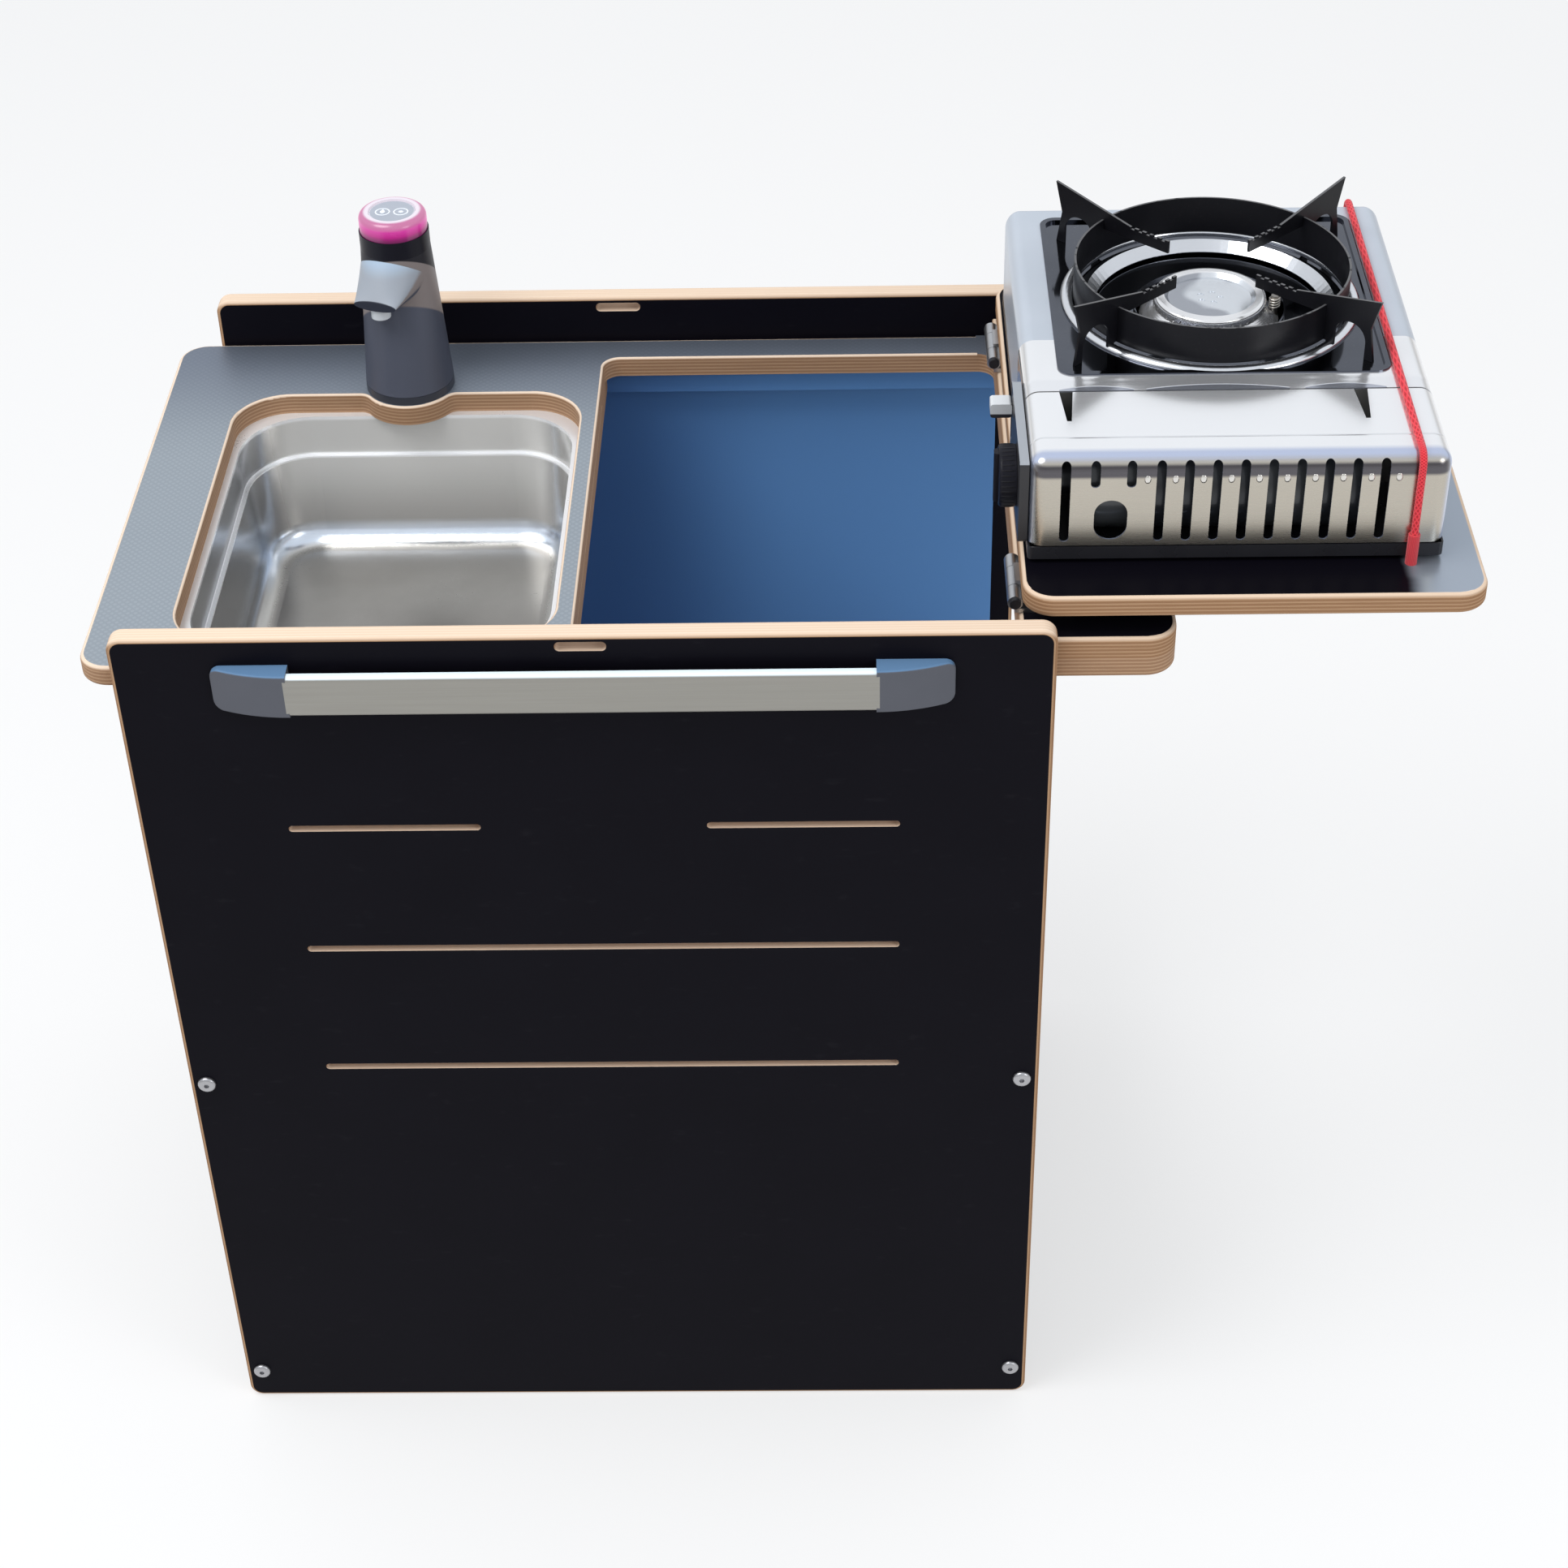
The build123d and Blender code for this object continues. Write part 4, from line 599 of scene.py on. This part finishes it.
def enamel():
    # black enamel, chipped to pale metal on the upper edges where pans sit
    finish = Finish("enamel")
    z = finish.axes(finish.place)[2]
    spots = finish.noise(180.0, 4.0)
    fleck = finish.step(finish.noise(700.0, 3.0), 0.60, 0.70)
    upward = finish.step(finish.axes(finish.facing)[2], 0.35, 0.7)
    worn = upward * finish.step(spots + (z - enamelTone["wearHeight"]) * 6.0, 0.44, 0.58)
    colour = finish.mix(worn * 0.40, enamelTone["black"], enamelTone["worn"])
    colour = finish.mix(fleck * 0.06, colour, enamelTone["fleck"])
    finish.surface(colour=colour, rough=0.24 + spots * 0.16, metal=worn * 0.5, specular=0.18,
                   normal=finish.bump(spots, 0.12, 0.0003))
    return finish


dress(enamel(), "pan_support")


burner = {"x": 0.41475, "y": 0.040, "bodyTop": 0.8015, "dish": 0.0310, "ringsPerMetre": 950.0,
          "sootFrom": 0.0345, "sootTo": 0.039, "metal": (0.93, 0.93, 0.94), "metalDeep": (0.80, 0.80, 0.81),
          "soot": (0.34, 0.31, 0.28), "dishDeep": (0.40, 0.42, 0.46), "dishLight": (0.74, 0.77, 0.81)}


def turnedAluminium():
    # turned metal: rings round the burner's middle, a little heat tint near the ports
    finish = Finish("turnedAluminium")
    z = finish.axes(finish.place)[2]
    radius = finish.reach(burner)
    rings = finish.maths("SINE", radius * (2 * math.pi * burner["ringsPerMetre"]))
    cloud = finish.noise(35.0, 4.0)
    soot = finish.step(radius, burner["sootFrom"], burner["sootTo"])
    soot = soot * finish.step(finish.noise(120.0, 4.0), 0.42, 0.7)
    colour = finish.mix(cloud * 0.5, burner["metal"], burner["metalDeep"])
    colour = finish.mix(soot * 0.20, colour, burner["soot"])
    # the dished middle of the cap is duller, with cloudy patches
    dish = (1.0 - finish.step(radius, burner["dish"] - 0.001, burner["dish"])) * (z > burner["bodyTop"])
    patch = finish.step(finish.noise(32.0, 1.0), 0.44, 0.56)
    colour = finish.mix(dish, colour, finish.mix(patch, burner["dishDeep"], burner["dishLight"]))
    finish.surface(colour=colour, rough=0.18 + cloud * 0.08 + rings * 0.02, metal=0.85,
                   normal=finish.bump(rings, 0.10, 0.00006))
    return finish


dress(turnedAluminium(), "burner_body", "burner_cap")
print("metals finished")


def moulded(name, colour, rough, grain, coat=0.0, specular=0.4):
    finish = Finish(name)
    cloud = finish.noise(20.0, 4.0)
    spark = finish.noise(1100.0, 2.0)
    rub = finish.step(finish.noise(90.0, 5.0), 0.60, 0.76)
    lighter = tuple(min(1.0, channel * 1.25 + 0.01) for channel in colour)
    tone = finish.mix(cloud * 0.6, colour, tuple(channel * 0.82 for channel in colour))
    finish.surface(colour=finish.mix(rub * 0.3, tone, lighter), rough=rough + rub * 0.08 + cloud * 0.05,
                   normal=finish.bump(spark, grain, 0.00015), coat=coat, coatRough=0.15, specular=specular)
    return finish


plastics = {"cap": (0.105, 0.110, 0.130), "capDeep": (0.085, 0.090, 0.108), "capSkyLight": (0.105, 0.20, 0.34),
            "tapBase": (0.035, 0.040, 0.055), "gloss": (0.010, 0.010, 0.016), "pale": (0.62, 0.66, 0.70),
            "cell": (0.08, 0.18, 0.38), "spring": (0.16, 0.16, 0.16), "rubber": (0.020, 0.020, 0.022),
            "rib": (0.014, 0.014, 0.018), "ink": (0.80, 0.84, 0.90)}


def capPlastic():
    # dull moulded plastic, dark on its face, with painted sky light on top
    finish = Finish("capPlastic")
    upward = finish.step(finish.axes(finish.facing)[2], 0.30, 0.80)
    cloud = finish.noise(30.0, 4.0)
    colour = finish.mix(cloud * 0.6, plastics["cap"], plastics["capDeep"])
    finish.surface(colour=finish.mix(upward, colour, plastics["capSkyLight"]), rough=0.46 + cloud * 0.1,
                   specular=0.16, normal=finish.bump(finish.noise(1100.0, 2.0), 0.22, 0.00015))
    return finish


dress(capPlastic(), "handle_caps")
dress(moulded("baseGrey", plastics["tapBase"], 0.42, 0.15), "tap_base")
dress(moulded("blackGloss", plastics["gloss"], 0.32, 0.08, 0.0, 0.14), "tap_collar", "stove_knob")
dress(moulded("palePlastic", plastics["pale"], 0.34, 0.06, 0.3), "tap_nozzle", "tap_tail")
dress(moulded("cellWrap", plastics["cell"], 0.35, 0.03, 0.3), "tap_battery")
dress(moulded("springRubber", plastics["spring"], 0.6, 0.1), "tap_button_spring")
dress(moulded("softRubber", plastics["rubber"], 0.62, 0.3), "lid_buffers", "stove_feet")


lever = {"footFrom": 0.7822, "footTo": 0.7832, "pale": (0.66, 0.68, 0.70), "deep": (0.52, 0.54, 0.57),
         "foot": (0.02, 0.02, 0.025)}


def leverPlastic():
    # pale lever with a dark foot
    finish = Finish("leverPlastic")
    z = finish.axes(finish.place)[2]
    cloud = finish.noise(40.0, 3.0)
    low = 1.0 - finish.step(z, lever["footFrom"], lever["footTo"])
    colour = finish.mix(cloud * 0.3, lever["pale"], lever["deep"])
    finish.surface(colour=finish.mix(low, colour, lever["foot"]), rough=0.34 + cloud * 0.1,
                   normal=finish.bump(finish.noise(700.0, 2.0), 0.05, 0.0001))
    return finish


dress(leverPlastic(), "cartridge_lever")


tap = {"x": -0.150, "y": 0.147, "turn": 18.0, "lean": 4.0, "slope": 0.81, "bandLow": 0.740, "bandHigh": 0.776,
       "lipLow": 0.7655, "beakFrom": 0.0285, "beakTo": 0.0300, "beakLow": 0.7610, "beakHigh": 0.7625,
       "tipFrom": 0.0414, "tipTo": 0.0418, "highlightFrom": 0.784, "highlightTo": 0.796, "pale": (0.30, 0.33, 0.375),
       "paleTopHighlight": (0.36, 0.46, 0.58), "flank": (0.215, 0.185, 0.180), "dark": (0.074, 0.082, 0.112),
       "shade": (0.020, 0.024, 0.040), "neck": (0.010, 0.010, 0.016)}


def tapPlastic():
    # dark body with a slanting grey band round it, which runs out into the beak; its upper faces are painted
    # pale as painted sky light, bluer near the collar as a painted highlight, and painted shade darkens the
    # sides and the beak's tip
    finish = Finish("tapPlastic")
    x, y, z = finish.axes(finish.place)
    nx, nz = finish.axes(finish.facing)[::2]
    turn = math.radians(tap["turn"])
    out = (x - tap["x"]) * -math.sin(turn) + (y - tap["y"]) * -math.cos(turn)
    lean = math.radians(tap["lean"])
    near = (x - tap["x"]) * math.sin(lean) + (y - tap["y"]) * -math.cos(lean)
    cloud = finish.noise(18.0, 3.0)
    slant = z - near * tap["slope"]
    beak = finish.step(out, tap["beakFrom"], tap["beakTo"]) * finish.step(z, tap["beakLow"], tap["beakHigh"])
    band = finish.maths("MAXIMUM", finish.step(slant, tap["bandLow"] - 0.001, tap["bandLow"] + 0.001), beak)
    neck = finish.step(slant, tap["bandHigh"], tap["bandHigh"] + 0.001) * (1.0 - beak)
    upward = finish.step(nz, 0.11, 0.24) * finish.step(z, tap["lipLow"] - 0.001, tap["lipLow"] + 0.001)
    tip = finish.step(out, tap["tipFrom"], tap["tipTo"])
    colour = finish.mix(cloud, tap["dark"], tuple(channel * 1.25 for channel in tap["dark"]))
    colour = finish.mix(finish.step(abs(nx), 0.50, 0.95) * 0.45, colour, tap["shade"])
    colour = finish.mix(band * finish.step(nz, -0.30, -0.10), colour, tap["flank"])
    pale = finish.mix(finish.step(z, tap["highlightFrom"], tap["highlightTo"]), tap["pale"], tap["paleTopHighlight"])
    colour = finish.mix(upward, colour, pale)
    colour = finish.mix(neck * (1.0 - upward), colour, tap["neck"])
    colour = finish.mix(tip, colour, tap["shade"])
    finish.surface(colour=colour, rough=0.40 + cloud * 0.08, specular=0.28,
                   normal=finish.bump(finish.noise(900.0, 2.0), 0.06, 0.0001))
    return finish


dress(tapPlastic(), "tap_body")


ring = {"low": 0.8100, "high": 0.8225, "innerWall": 0.0188, "outerWall": 0.0212,
        "tint": (0.10, 0.010, 0.06), "topTint": (0.34, 0.30, 0.34), "topGlow": (0.60, 0.56, 0.62),
        "glow": ((0.0, (0.10, 0.003, 0.050)), (0.30, (0.52, 0.008, 0.24)), (0.75, (0.74, 0.050, 0.40)),
                 (1.0, (0.66, 0.24, 0.42)))}


def litRing():
    # a clear ring lit from below: magenta at its foot, nearly white at its rim
    finish = Finish("litRing")
    z = finish.axes(finish.place)[2]
    inner = 1.0 - finish.step(finish.reach(tap), ring["innerWall"], ring["outerWall"])
    glow = finish.ramp(finish.step(z, ring["low"], ring["high"]), ring["glow"])
    finish.surface(colour=finish.mix(inner, ring["tint"], ring["topTint"]),
                   rough=0.25 + finish.noise(60.0, 2.0) * 0.08, glow=finish.mix(inner, glow, ring["topGlow"]),
                   glowLevel=0.75, coat=0.3, coatRough=0.10)
    return finish


dress(litRing(), "tap_light_ring")


disc = {"rimFrom": 0.0150, "rimTo": 0.0162, "face": (0.36, 0.39, 0.45), "deep": (0.28, 0.31, 0.37),
        "rim": (0.72, 0.70, 0.76)}


def buttonDisc():
    # grey disc, with the ring's light painted as a bright rim round its edge
    finish = Finish("buttonDisc")
    cloud = finish.noise(60.0, 3.0)
    rim = finish.step(finish.reach(tap), disc["rimFrom"], disc["rimTo"])
    colour = finish.mix(cloud * 0.5, disc["face"], disc["deep"])
    finish.surface(colour=finish.mix(rim * 0.8, colour, disc["rim"]), rough=0.24 + cloud * 0.1, coat=0.3,
                   coatRough=0.1)
    return finish


dress(buttonDisc(), "tap_button")


cloth = {"threads": 4200.0, "pitch": 90.0, "starts": 6.0, "knotDeep": (0.22, 0.010, 0.020),
         "knotBright": (0.50, 0.040, 0.055), "sleeveDeep": (0.50, 0.020, 0.035),
         "sleeveBright": (0.85, 0.070, 0.085), "cordDeep": (0.46, 0.012, 0.022),
         "cordBright": (0.84, 0.055, 0.075)}


def woven(finish, weave, low, high, deep, bright):
    fuzz = finish.noise(1200.0, 3.0)
    colour = finish.mix(finish.step(weave, low, high), deep, bright)
    finish.surface(colour=finish.mix(fuzz * 0.25, colour, deep), rough=0.75 + fuzz * 0.15, sheen=0.25,
                   specular=0.2, normal=finish.bump(weave + fuzz * 0.4, 0.5, 0.0003))
    return finish


def clothCord(name, deep, bright):
    # woven cover: two crossing families of strands, taken from the piece's own UV map
    finish = Finish(name)
    made = finish.tree.nodes.new("ShaderNodeUVMap")
    u, v = finish.axes(Value(finish, made.outputs[0]))[:2]
    rise = finish.maths("SINE", (u * cloth["pitch"] + v * cloth["starts"]) * (2 * math.pi))
    fall = finish.maths("SINE", (u * cloth["pitch"] - v * cloth["starts"]) * (2 * math.pi))
    return woven(finish, finish.maths("MAXIMUM", rise, fall), -0.2, 0.9, deep, bright)


def clothPlain(name, deep, bright):
    finish = Finish(name)
    x, y, z = finish.axes(finish.place)
    rise = finish.maths("SINE", (x + y + z * 2.0) * cloth["threads"])
    fall = finish.maths("SINE", (x - y - z * 2.0) * cloth["threads"])
    return woven(finish, rise * fall, -0.5, 0.6, deep, bright)


dress(clothPlain("redCloth", cloth["knotDeep"], cloth["knotBright"]), "cord_knots")
dress(clothPlain("redSleeve", cloth["sleeveDeep"], cloth["sleeveBright"]), "cord_sleeve")
print("plastics and cloth finished")


cord = {"x": 0.526, "diameter": 0.005, "near": -0.1691, "far": 0.1748, "low": 0.714, "rise": 0.03,
        "top": 0.8083, "nearStep": 0.020, "farStep": 0.014}


def makeCord():
    x, near, far, low, top = (cord[key] for key in ("x", "near", "far", "low", "top"))
    nearStep, farStep, rise = (cord[key] for key in ("nearStep", "farStep", "rise"))
    route = [(x, near, low), (x, near, low + rise), (x, near, top - nearStep), (x, near, top),
             (x, near + nearStep, top), (x, 0.0, top), (x, far - farStep, top), (x, far, top),
             (x, far, top - farStep), (x, far, low + rise), (x, far, low)]
    curve = bpy.data.curves.new("redCord", "CURVE")
    curve.dimensions = "3D"
    curve.bevel_depth = cord["diameter"] / 2
    curve.bevel_resolution = 5
    curve.resolution_u = 10
    spline = curve.splines.new("NURBS")
    spline.points.add(len(route) - 1)
    for point, place in zip(spline.points, route):
        point.co = (*place, 1.0)
    spline.order_u = 3
    spline.use_endpoint_u = True
    piece = bpy.data.objects.new("redCord", curve)
    bpy.context.scene.collection.objects.link(piece)
    curve.materials.append(clothCord("cordWeave", cloth["cordDeep"], cloth["cordBright"]).material)
    bare = curve.copy()
    bare.bevel_depth = 0
    line = bpy.data.objects.new("line", bare)
    bpy.context.scene.collection.objects.link(line)
    points = [vertex.co for vertex in bpy.data.meshes.new_from_object(
        line.evaluated_get(bpy.context.evaluated_depsgraph_get())).vertices]
    bpy.data.objects.remove(line)
    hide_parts("elastic_cord")
    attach(piece, "lid")


makeCord()


def bitMesh(name, size, segments=10, rings=6):
    mesh = bpy.data.meshes.new(name)
    shape = bmesh.new()
    bmesh.ops.create_uvsphere(shape, u_segments=segments, v_segments=rings, radius=1)
    bmesh.ops.scale(shape, vec=size, verts=shape.verts)
    for face in shape.faces:
        face.smooth = True
    shape.to_mesh(mesh)
    shape.free()
    return bpy.data.objects.new(name, mesh)


def repeatTree(name, kind):
    # kind "row" sets bits along X, kind "ring" sets them round Z and turns each one outward
    tree = bpy.data.node_groups.new(name, "GeometryNodeTree")
    sockets = {"Geometry": "Geometry", "Bit": "Object", "Count": "Int", "Size": "Float", "Start": "Vector",
               "Turn": "Vector", "Finish": "Material"}
    for label, sort in sockets.items():
        tree.interface.new_socket(label, in_out="INPUT", socket_type="NodeSocket" + sort)
    tree.interface.new_socket("Geometry", in_out="OUTPUT", socket_type="NodeSocketGeometry")

    def add(kindName, **settings):
        made = tree.nodes.new(kindName)
        for setting, value in settings.items():
            setattr(made, setting, value)
        return made

    start = add("NodeGroupInput")
    end = add("NodeGroupOutput")
    link = tree.links.new
    if kind == "row":
        line = add("GeometryNodeMeshLine", mode="OFFSET")
        offset = add("ShaderNodeCombineXYZ")
        link(start.outputs["Size"], offset.inputs[0])
        link(start.outputs["Count"], line.inputs["Count"])
        link(offset.outputs[0], line.inputs["Offset"])
    else:
        line = add("GeometryNodeMeshCircle")
        link(start.outputs["Count"], line.inputs["Vertices"])
        link(start.outputs["Size"], line.inputs["Radius"])
    info = add("GeometryNodeObjectInfo")
    link(start.outputs["Bit"], info.inputs["Object"])
    spread = add("GeometryNodeInstanceOnPoints")
    link(line.outputs["Mesh"], spread.inputs["Points"])
    link(info.outputs["Geometry"], spread.inputs["Instance"])
    if kind == "ring":
        outward = add("GeometryNodeInputPosition")
        align = add("FunctionNodeAlignRotationToVector", axis="X")
        link(outward.outputs[0], align.inputs["Vector"])
        link(align.outputs[0], spread.inputs["Rotation"])
    real = add("GeometryNodeRealizeInstances")
    place = add("GeometryNodeTransform")
    paint = add("GeometryNodeSetMaterial")
    link(spread.outputs[0], real.inputs[0])
    link(real.outputs[0], place.inputs["Geometry"])
    link(start.outputs["Start"], place.inputs["Translation"])
    link(start.outputs["Turn"], place.inputs["Rotation"])
    link(place.outputs[0], paint.inputs["Geometry"])
    link(start.outputs["Finish"], paint.inputs["Material"])
    link(paint.outputs[0], end.inputs[0])
    return tree


rowTree = repeatTree("rowOfBits", "row")
ringTree = repeatTree("ringOfBits", "ring")


def repeated(name, tree, bit, count, size, start, turn, finish, body):
    bpy.context.scene.collection.objects.link(bit)
    holder = bpy.data.objects.new(name + "Holder", bpy.data.meshes.new(name + "Holder"))
    bpy.context.scene.collection.objects.link(holder)
    modifier = holder.modifiers.new("repeat", "NODES")
    modifier.node_group = tree
    values = {"Bit": bit, "Count": count, "Size": size, "Start": start, "Turn": turn,
              "Finish": finish.material}
    for item in tree.interface.items_tree:
        if item.item_type == "SOCKET" and item.in_out == "INPUT" and item.name in values:
            modifier[item.identifier] = values[item.name]
    holder.update_tag()
    seen = holder.evaluated_get(bpy.context.evaluated_depsgraph_get())
    mesh = bpy.data.meshes.new_from_object(seen)
    piece = bpy.data.objects.new(name, mesh)
    bpy.context.scene.collection.objects.link(piece)
    bpy.data.objects.remove(holder)
    bpy.data.objects.remove(bit)
    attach(piece, body)
    return piece


pressings = {"first": 0.3565, "pitch": 0.0174, "count": 10, "z": 0.7905, "y": -0.1649,
             "size": (0.0022, 0.0005, 0.003)}
ribs = {"count": 36, "radius": 0.0198, "size": (0.0007, 0.0006, 0.0050), "x": 0.2710, "y": -0.123,
        "z": 0.76875, "turn": 90}

pressingSteel = brushed("pressingSteel", metals["pressing"], 0.14, (1, 1, 1))
ribPlastic = moulded("ribPlastic", plastics["rib"], 0.34, 0.05, 0.0, 0.16)
repeated("coverPressings", rowTree, bitMesh("pressing", pressings["size"]), pressings["count"],
                 pressings["pitch"], (pressings["first"], pressings["y"], pressings["z"]), (0, 0, 0),
                 pressingSteel, "cover")
repeated("knobRibs", ringTree, bitMesh("rib", ribs["size"], 8, 5), ribs["count"], ribs["radius"],
                 (ribs["x"], ribs["y"], ribs["z"]), (0, math.radians(ribs["turn"]), 0), ribPlastic, "knob")
print("repeats made")


def finished(name, shape, finish, body, smooth=True):
    mesh = bpy.data.meshes.new(name)
    bmesh.ops.remove_doubles(shape, verts=shape.verts, dist=1e-6)
    bmesh.ops.recalc_face_normals(shape, faces=shape.faces)
    for face in shape.faces:
        face.smooth = smooth
    shape.to_mesh(mesh)
    shape.free()
    mesh.materials.append(finish.material)
    piece = bpy.data.objects.new(name, mesh)
    bpy.context.scene.collection.objects.link(piece)
    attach(piece, body)


def turned(profile, centre, steps=96):
    # spins a closed outline of (radius, height) points round the upright line through centre
    shape = bmesh.new()
    rings = []
    x, y = centre
    for step in range(steps):
        angle = 2 * math.pi * step / steps
        rings.append([shape.verts.new((x + radius * math.cos(angle), y + radius * math.sin(angle), height))
                      for radius, height in profile])
    count = len(profile)
    for step in range(steps):
        one, two = rings[step], rings[(step + 1) % steps]
        for index in range(count):
            following = (index + 1) % count
            shape.faces.new((one[index], one[following], two[following], two[index]))
    return shape


bead = {"radius": 0.0966, "half": 0.0042, "rise": 0.0036, "ledge": 0.8044, "steps": 12}
slope = {"outer": 0.0838, "inner": 0.0772, "top": 0.8056, "low": 0.7990, "thick": 0.0004}


def beadProfile():
    points = []
    for step in range(bead["steps"] + 1):
        angle = math.pi * step / bead["steps"]
        points.append((bead["radius"] - bead["half"] * math.cos(angle),
                       bead["ledge"] + bead["rise"] * math.sin(angle)))
    return points


def slopeProfile():
    outer, inner, top, low, thick = (slope[key] for key in ("outer", "inner", "top", "low", "thick"))
    return [(outer, top), (inner, low), (inner, low - thick), (outer, top - thick)]


# painted highlight: bead and slope take bright metal, paler than the dark drip pan, to show pale arcs round
# the burner
finished("dripBead", turned(beadProfile(), (burner["x"], burner["y"])),
         brushed("beadPaintedHighlight", metals["bead"], 0.10, (1, 1, 1), 0.05), "lid")
finished("dripSlope", turned(slopeProfile(), (burner["x"], burner["y"])),
         brushed("slopePaintedHighlight", metals["slope"], 0.12, (1, 1, 1), 0.10), "lid", False)


def tube(points, radius, sides=10):
    # a closed tube along a list of points
    shape = bmesh.new()
    rings = []
    for index, point in enumerate(points):
        before = points[max(index - 1, 0)]
        after = points[min(index + 1, len(points) - 1)]
        way = (Vector(after) - Vector(before)).normalized()
        side = way.orthogonal().normalized() if index == 0 else (side - way * side.dot(way)).normalized()
        other = way.cross(side)
        rings.append([shape.verts.new(Vector(point) + radius * (math.cos(2 * math.pi * step / sides) * side
                                                              + math.sin(2 * math.pi * step / sides) * other))
                      for step in range(sides)])
    for one, two in zip(rings, rings[1:]):
        for step in range(sides):
            shape.faces.new((one[step], one[(step + 1) % sides], two[(step + 1) % sides], two[step]))
    shape.faces.new(rings[0])
    shape.faces.new(rings[-1])
    return shape


coil = {"x": 0.45875, "y": 0.040, "low": 0.7975, "turns": 4, "steps": 20, "pitch": 0.0019, "radius": 0.0034,
        "wire": 0.0006}


def coilPoints():
    points = []
    for step in range(coil["turns"] * coil["steps"] + 1):
        angle = 2 * math.pi * step / coil["steps"]
        points.append((coil["x"] + coil["radius"] * math.cos(angle),
                       coil["y"] + coil["radius"] * math.sin(angle),
                       coil["low"] + coil["pitch"] * step / coil["steps"]))
    return points


finished("igniterCoil", tube(coilPoints(), coil["wire"], 8),
         brushed("coilWire", metals["coil"], 0.25, (1, 1, 1)), "lid")


marks = {"drop": (-0.1565, 0.1462), "lamp": (-0.1435, 0.1462), "size": 0.0022, "steps": 24, "top": 0.82295,
         "thick": 0.00018, "ringOuter": 0.0054, "ringInner": 0.0044, "dropPull": 0.9, "dropPinch": 0.6,
         "dropWidth": 0.8, "rayEvery": 3, "rayInner": 0.66}


def flatShape(outline, low, high):
    shape = bmesh.new()
    lower = [shape.verts.new((x, y, low)) for x, y in outline]
    upper = [shape.verts.new((x, y, high)) for x, y in outline]
    shape.faces.new(list(reversed(lower)))
    shape.faces.new(upper)
    for index in range(len(outline)):
        following = (index + 1) % len(outline)
        shape.faces.new((lower[index], lower[following], upper[following], upper[index]))
    return shape


def dropOutline(centre, size):
    points = []
    for step in range(marks["steps"]):
        angle = 2 * math.pi * step / marks["steps"]
        pull = max(0.0, math.sin(angle)) ** 6 * marks["dropPull"]
        pinch = (1 - pull * marks["dropPinch"]) * marks["dropWidth"]
        points.append((centre[0] + size * math.cos(angle) * pinch,
                       centre[1] + size * (math.sin(angle) + pull)))
    return points


def lampOutline(centre, size):
    points = []
    for step in range(marks["steps"]):
        angle = 2 * math.pi * step / marks["steps"]
        reach = size * (1.0 if step % marks["rayEvery"] == 0 else marks["rayInner"])
        points.append((centre[0] + reach * math.cos(angle), centre[1] + reach * math.sin(angle)))
    return points


def ringOutline():
    outer, inner, low = marks["ringOuter"], marks["ringInner"], marks["top"]
    return [(outer, low), (outer, low + marks["thick"]), (inner, low + marks["thick"]), (inner, low)]


markInk = moulded("markInk", plastics["ink"], 0.4, 0.02)
for markName in ("drop", "lamp"):
    finished(markName + "Circle", turned(ringOutline(), marks[markName], 48), markInk, "button",
             False)
for markName, outline in (("drop", dropOutline), ("lamp", lampOutline)):
    flat = flatShape(outline(marks[markName], marks["size"]), marks["top"], marks["top"] + marks["thick"])
    finished(markName + "Mark", flat, markInk, "button", False)
print("details made")
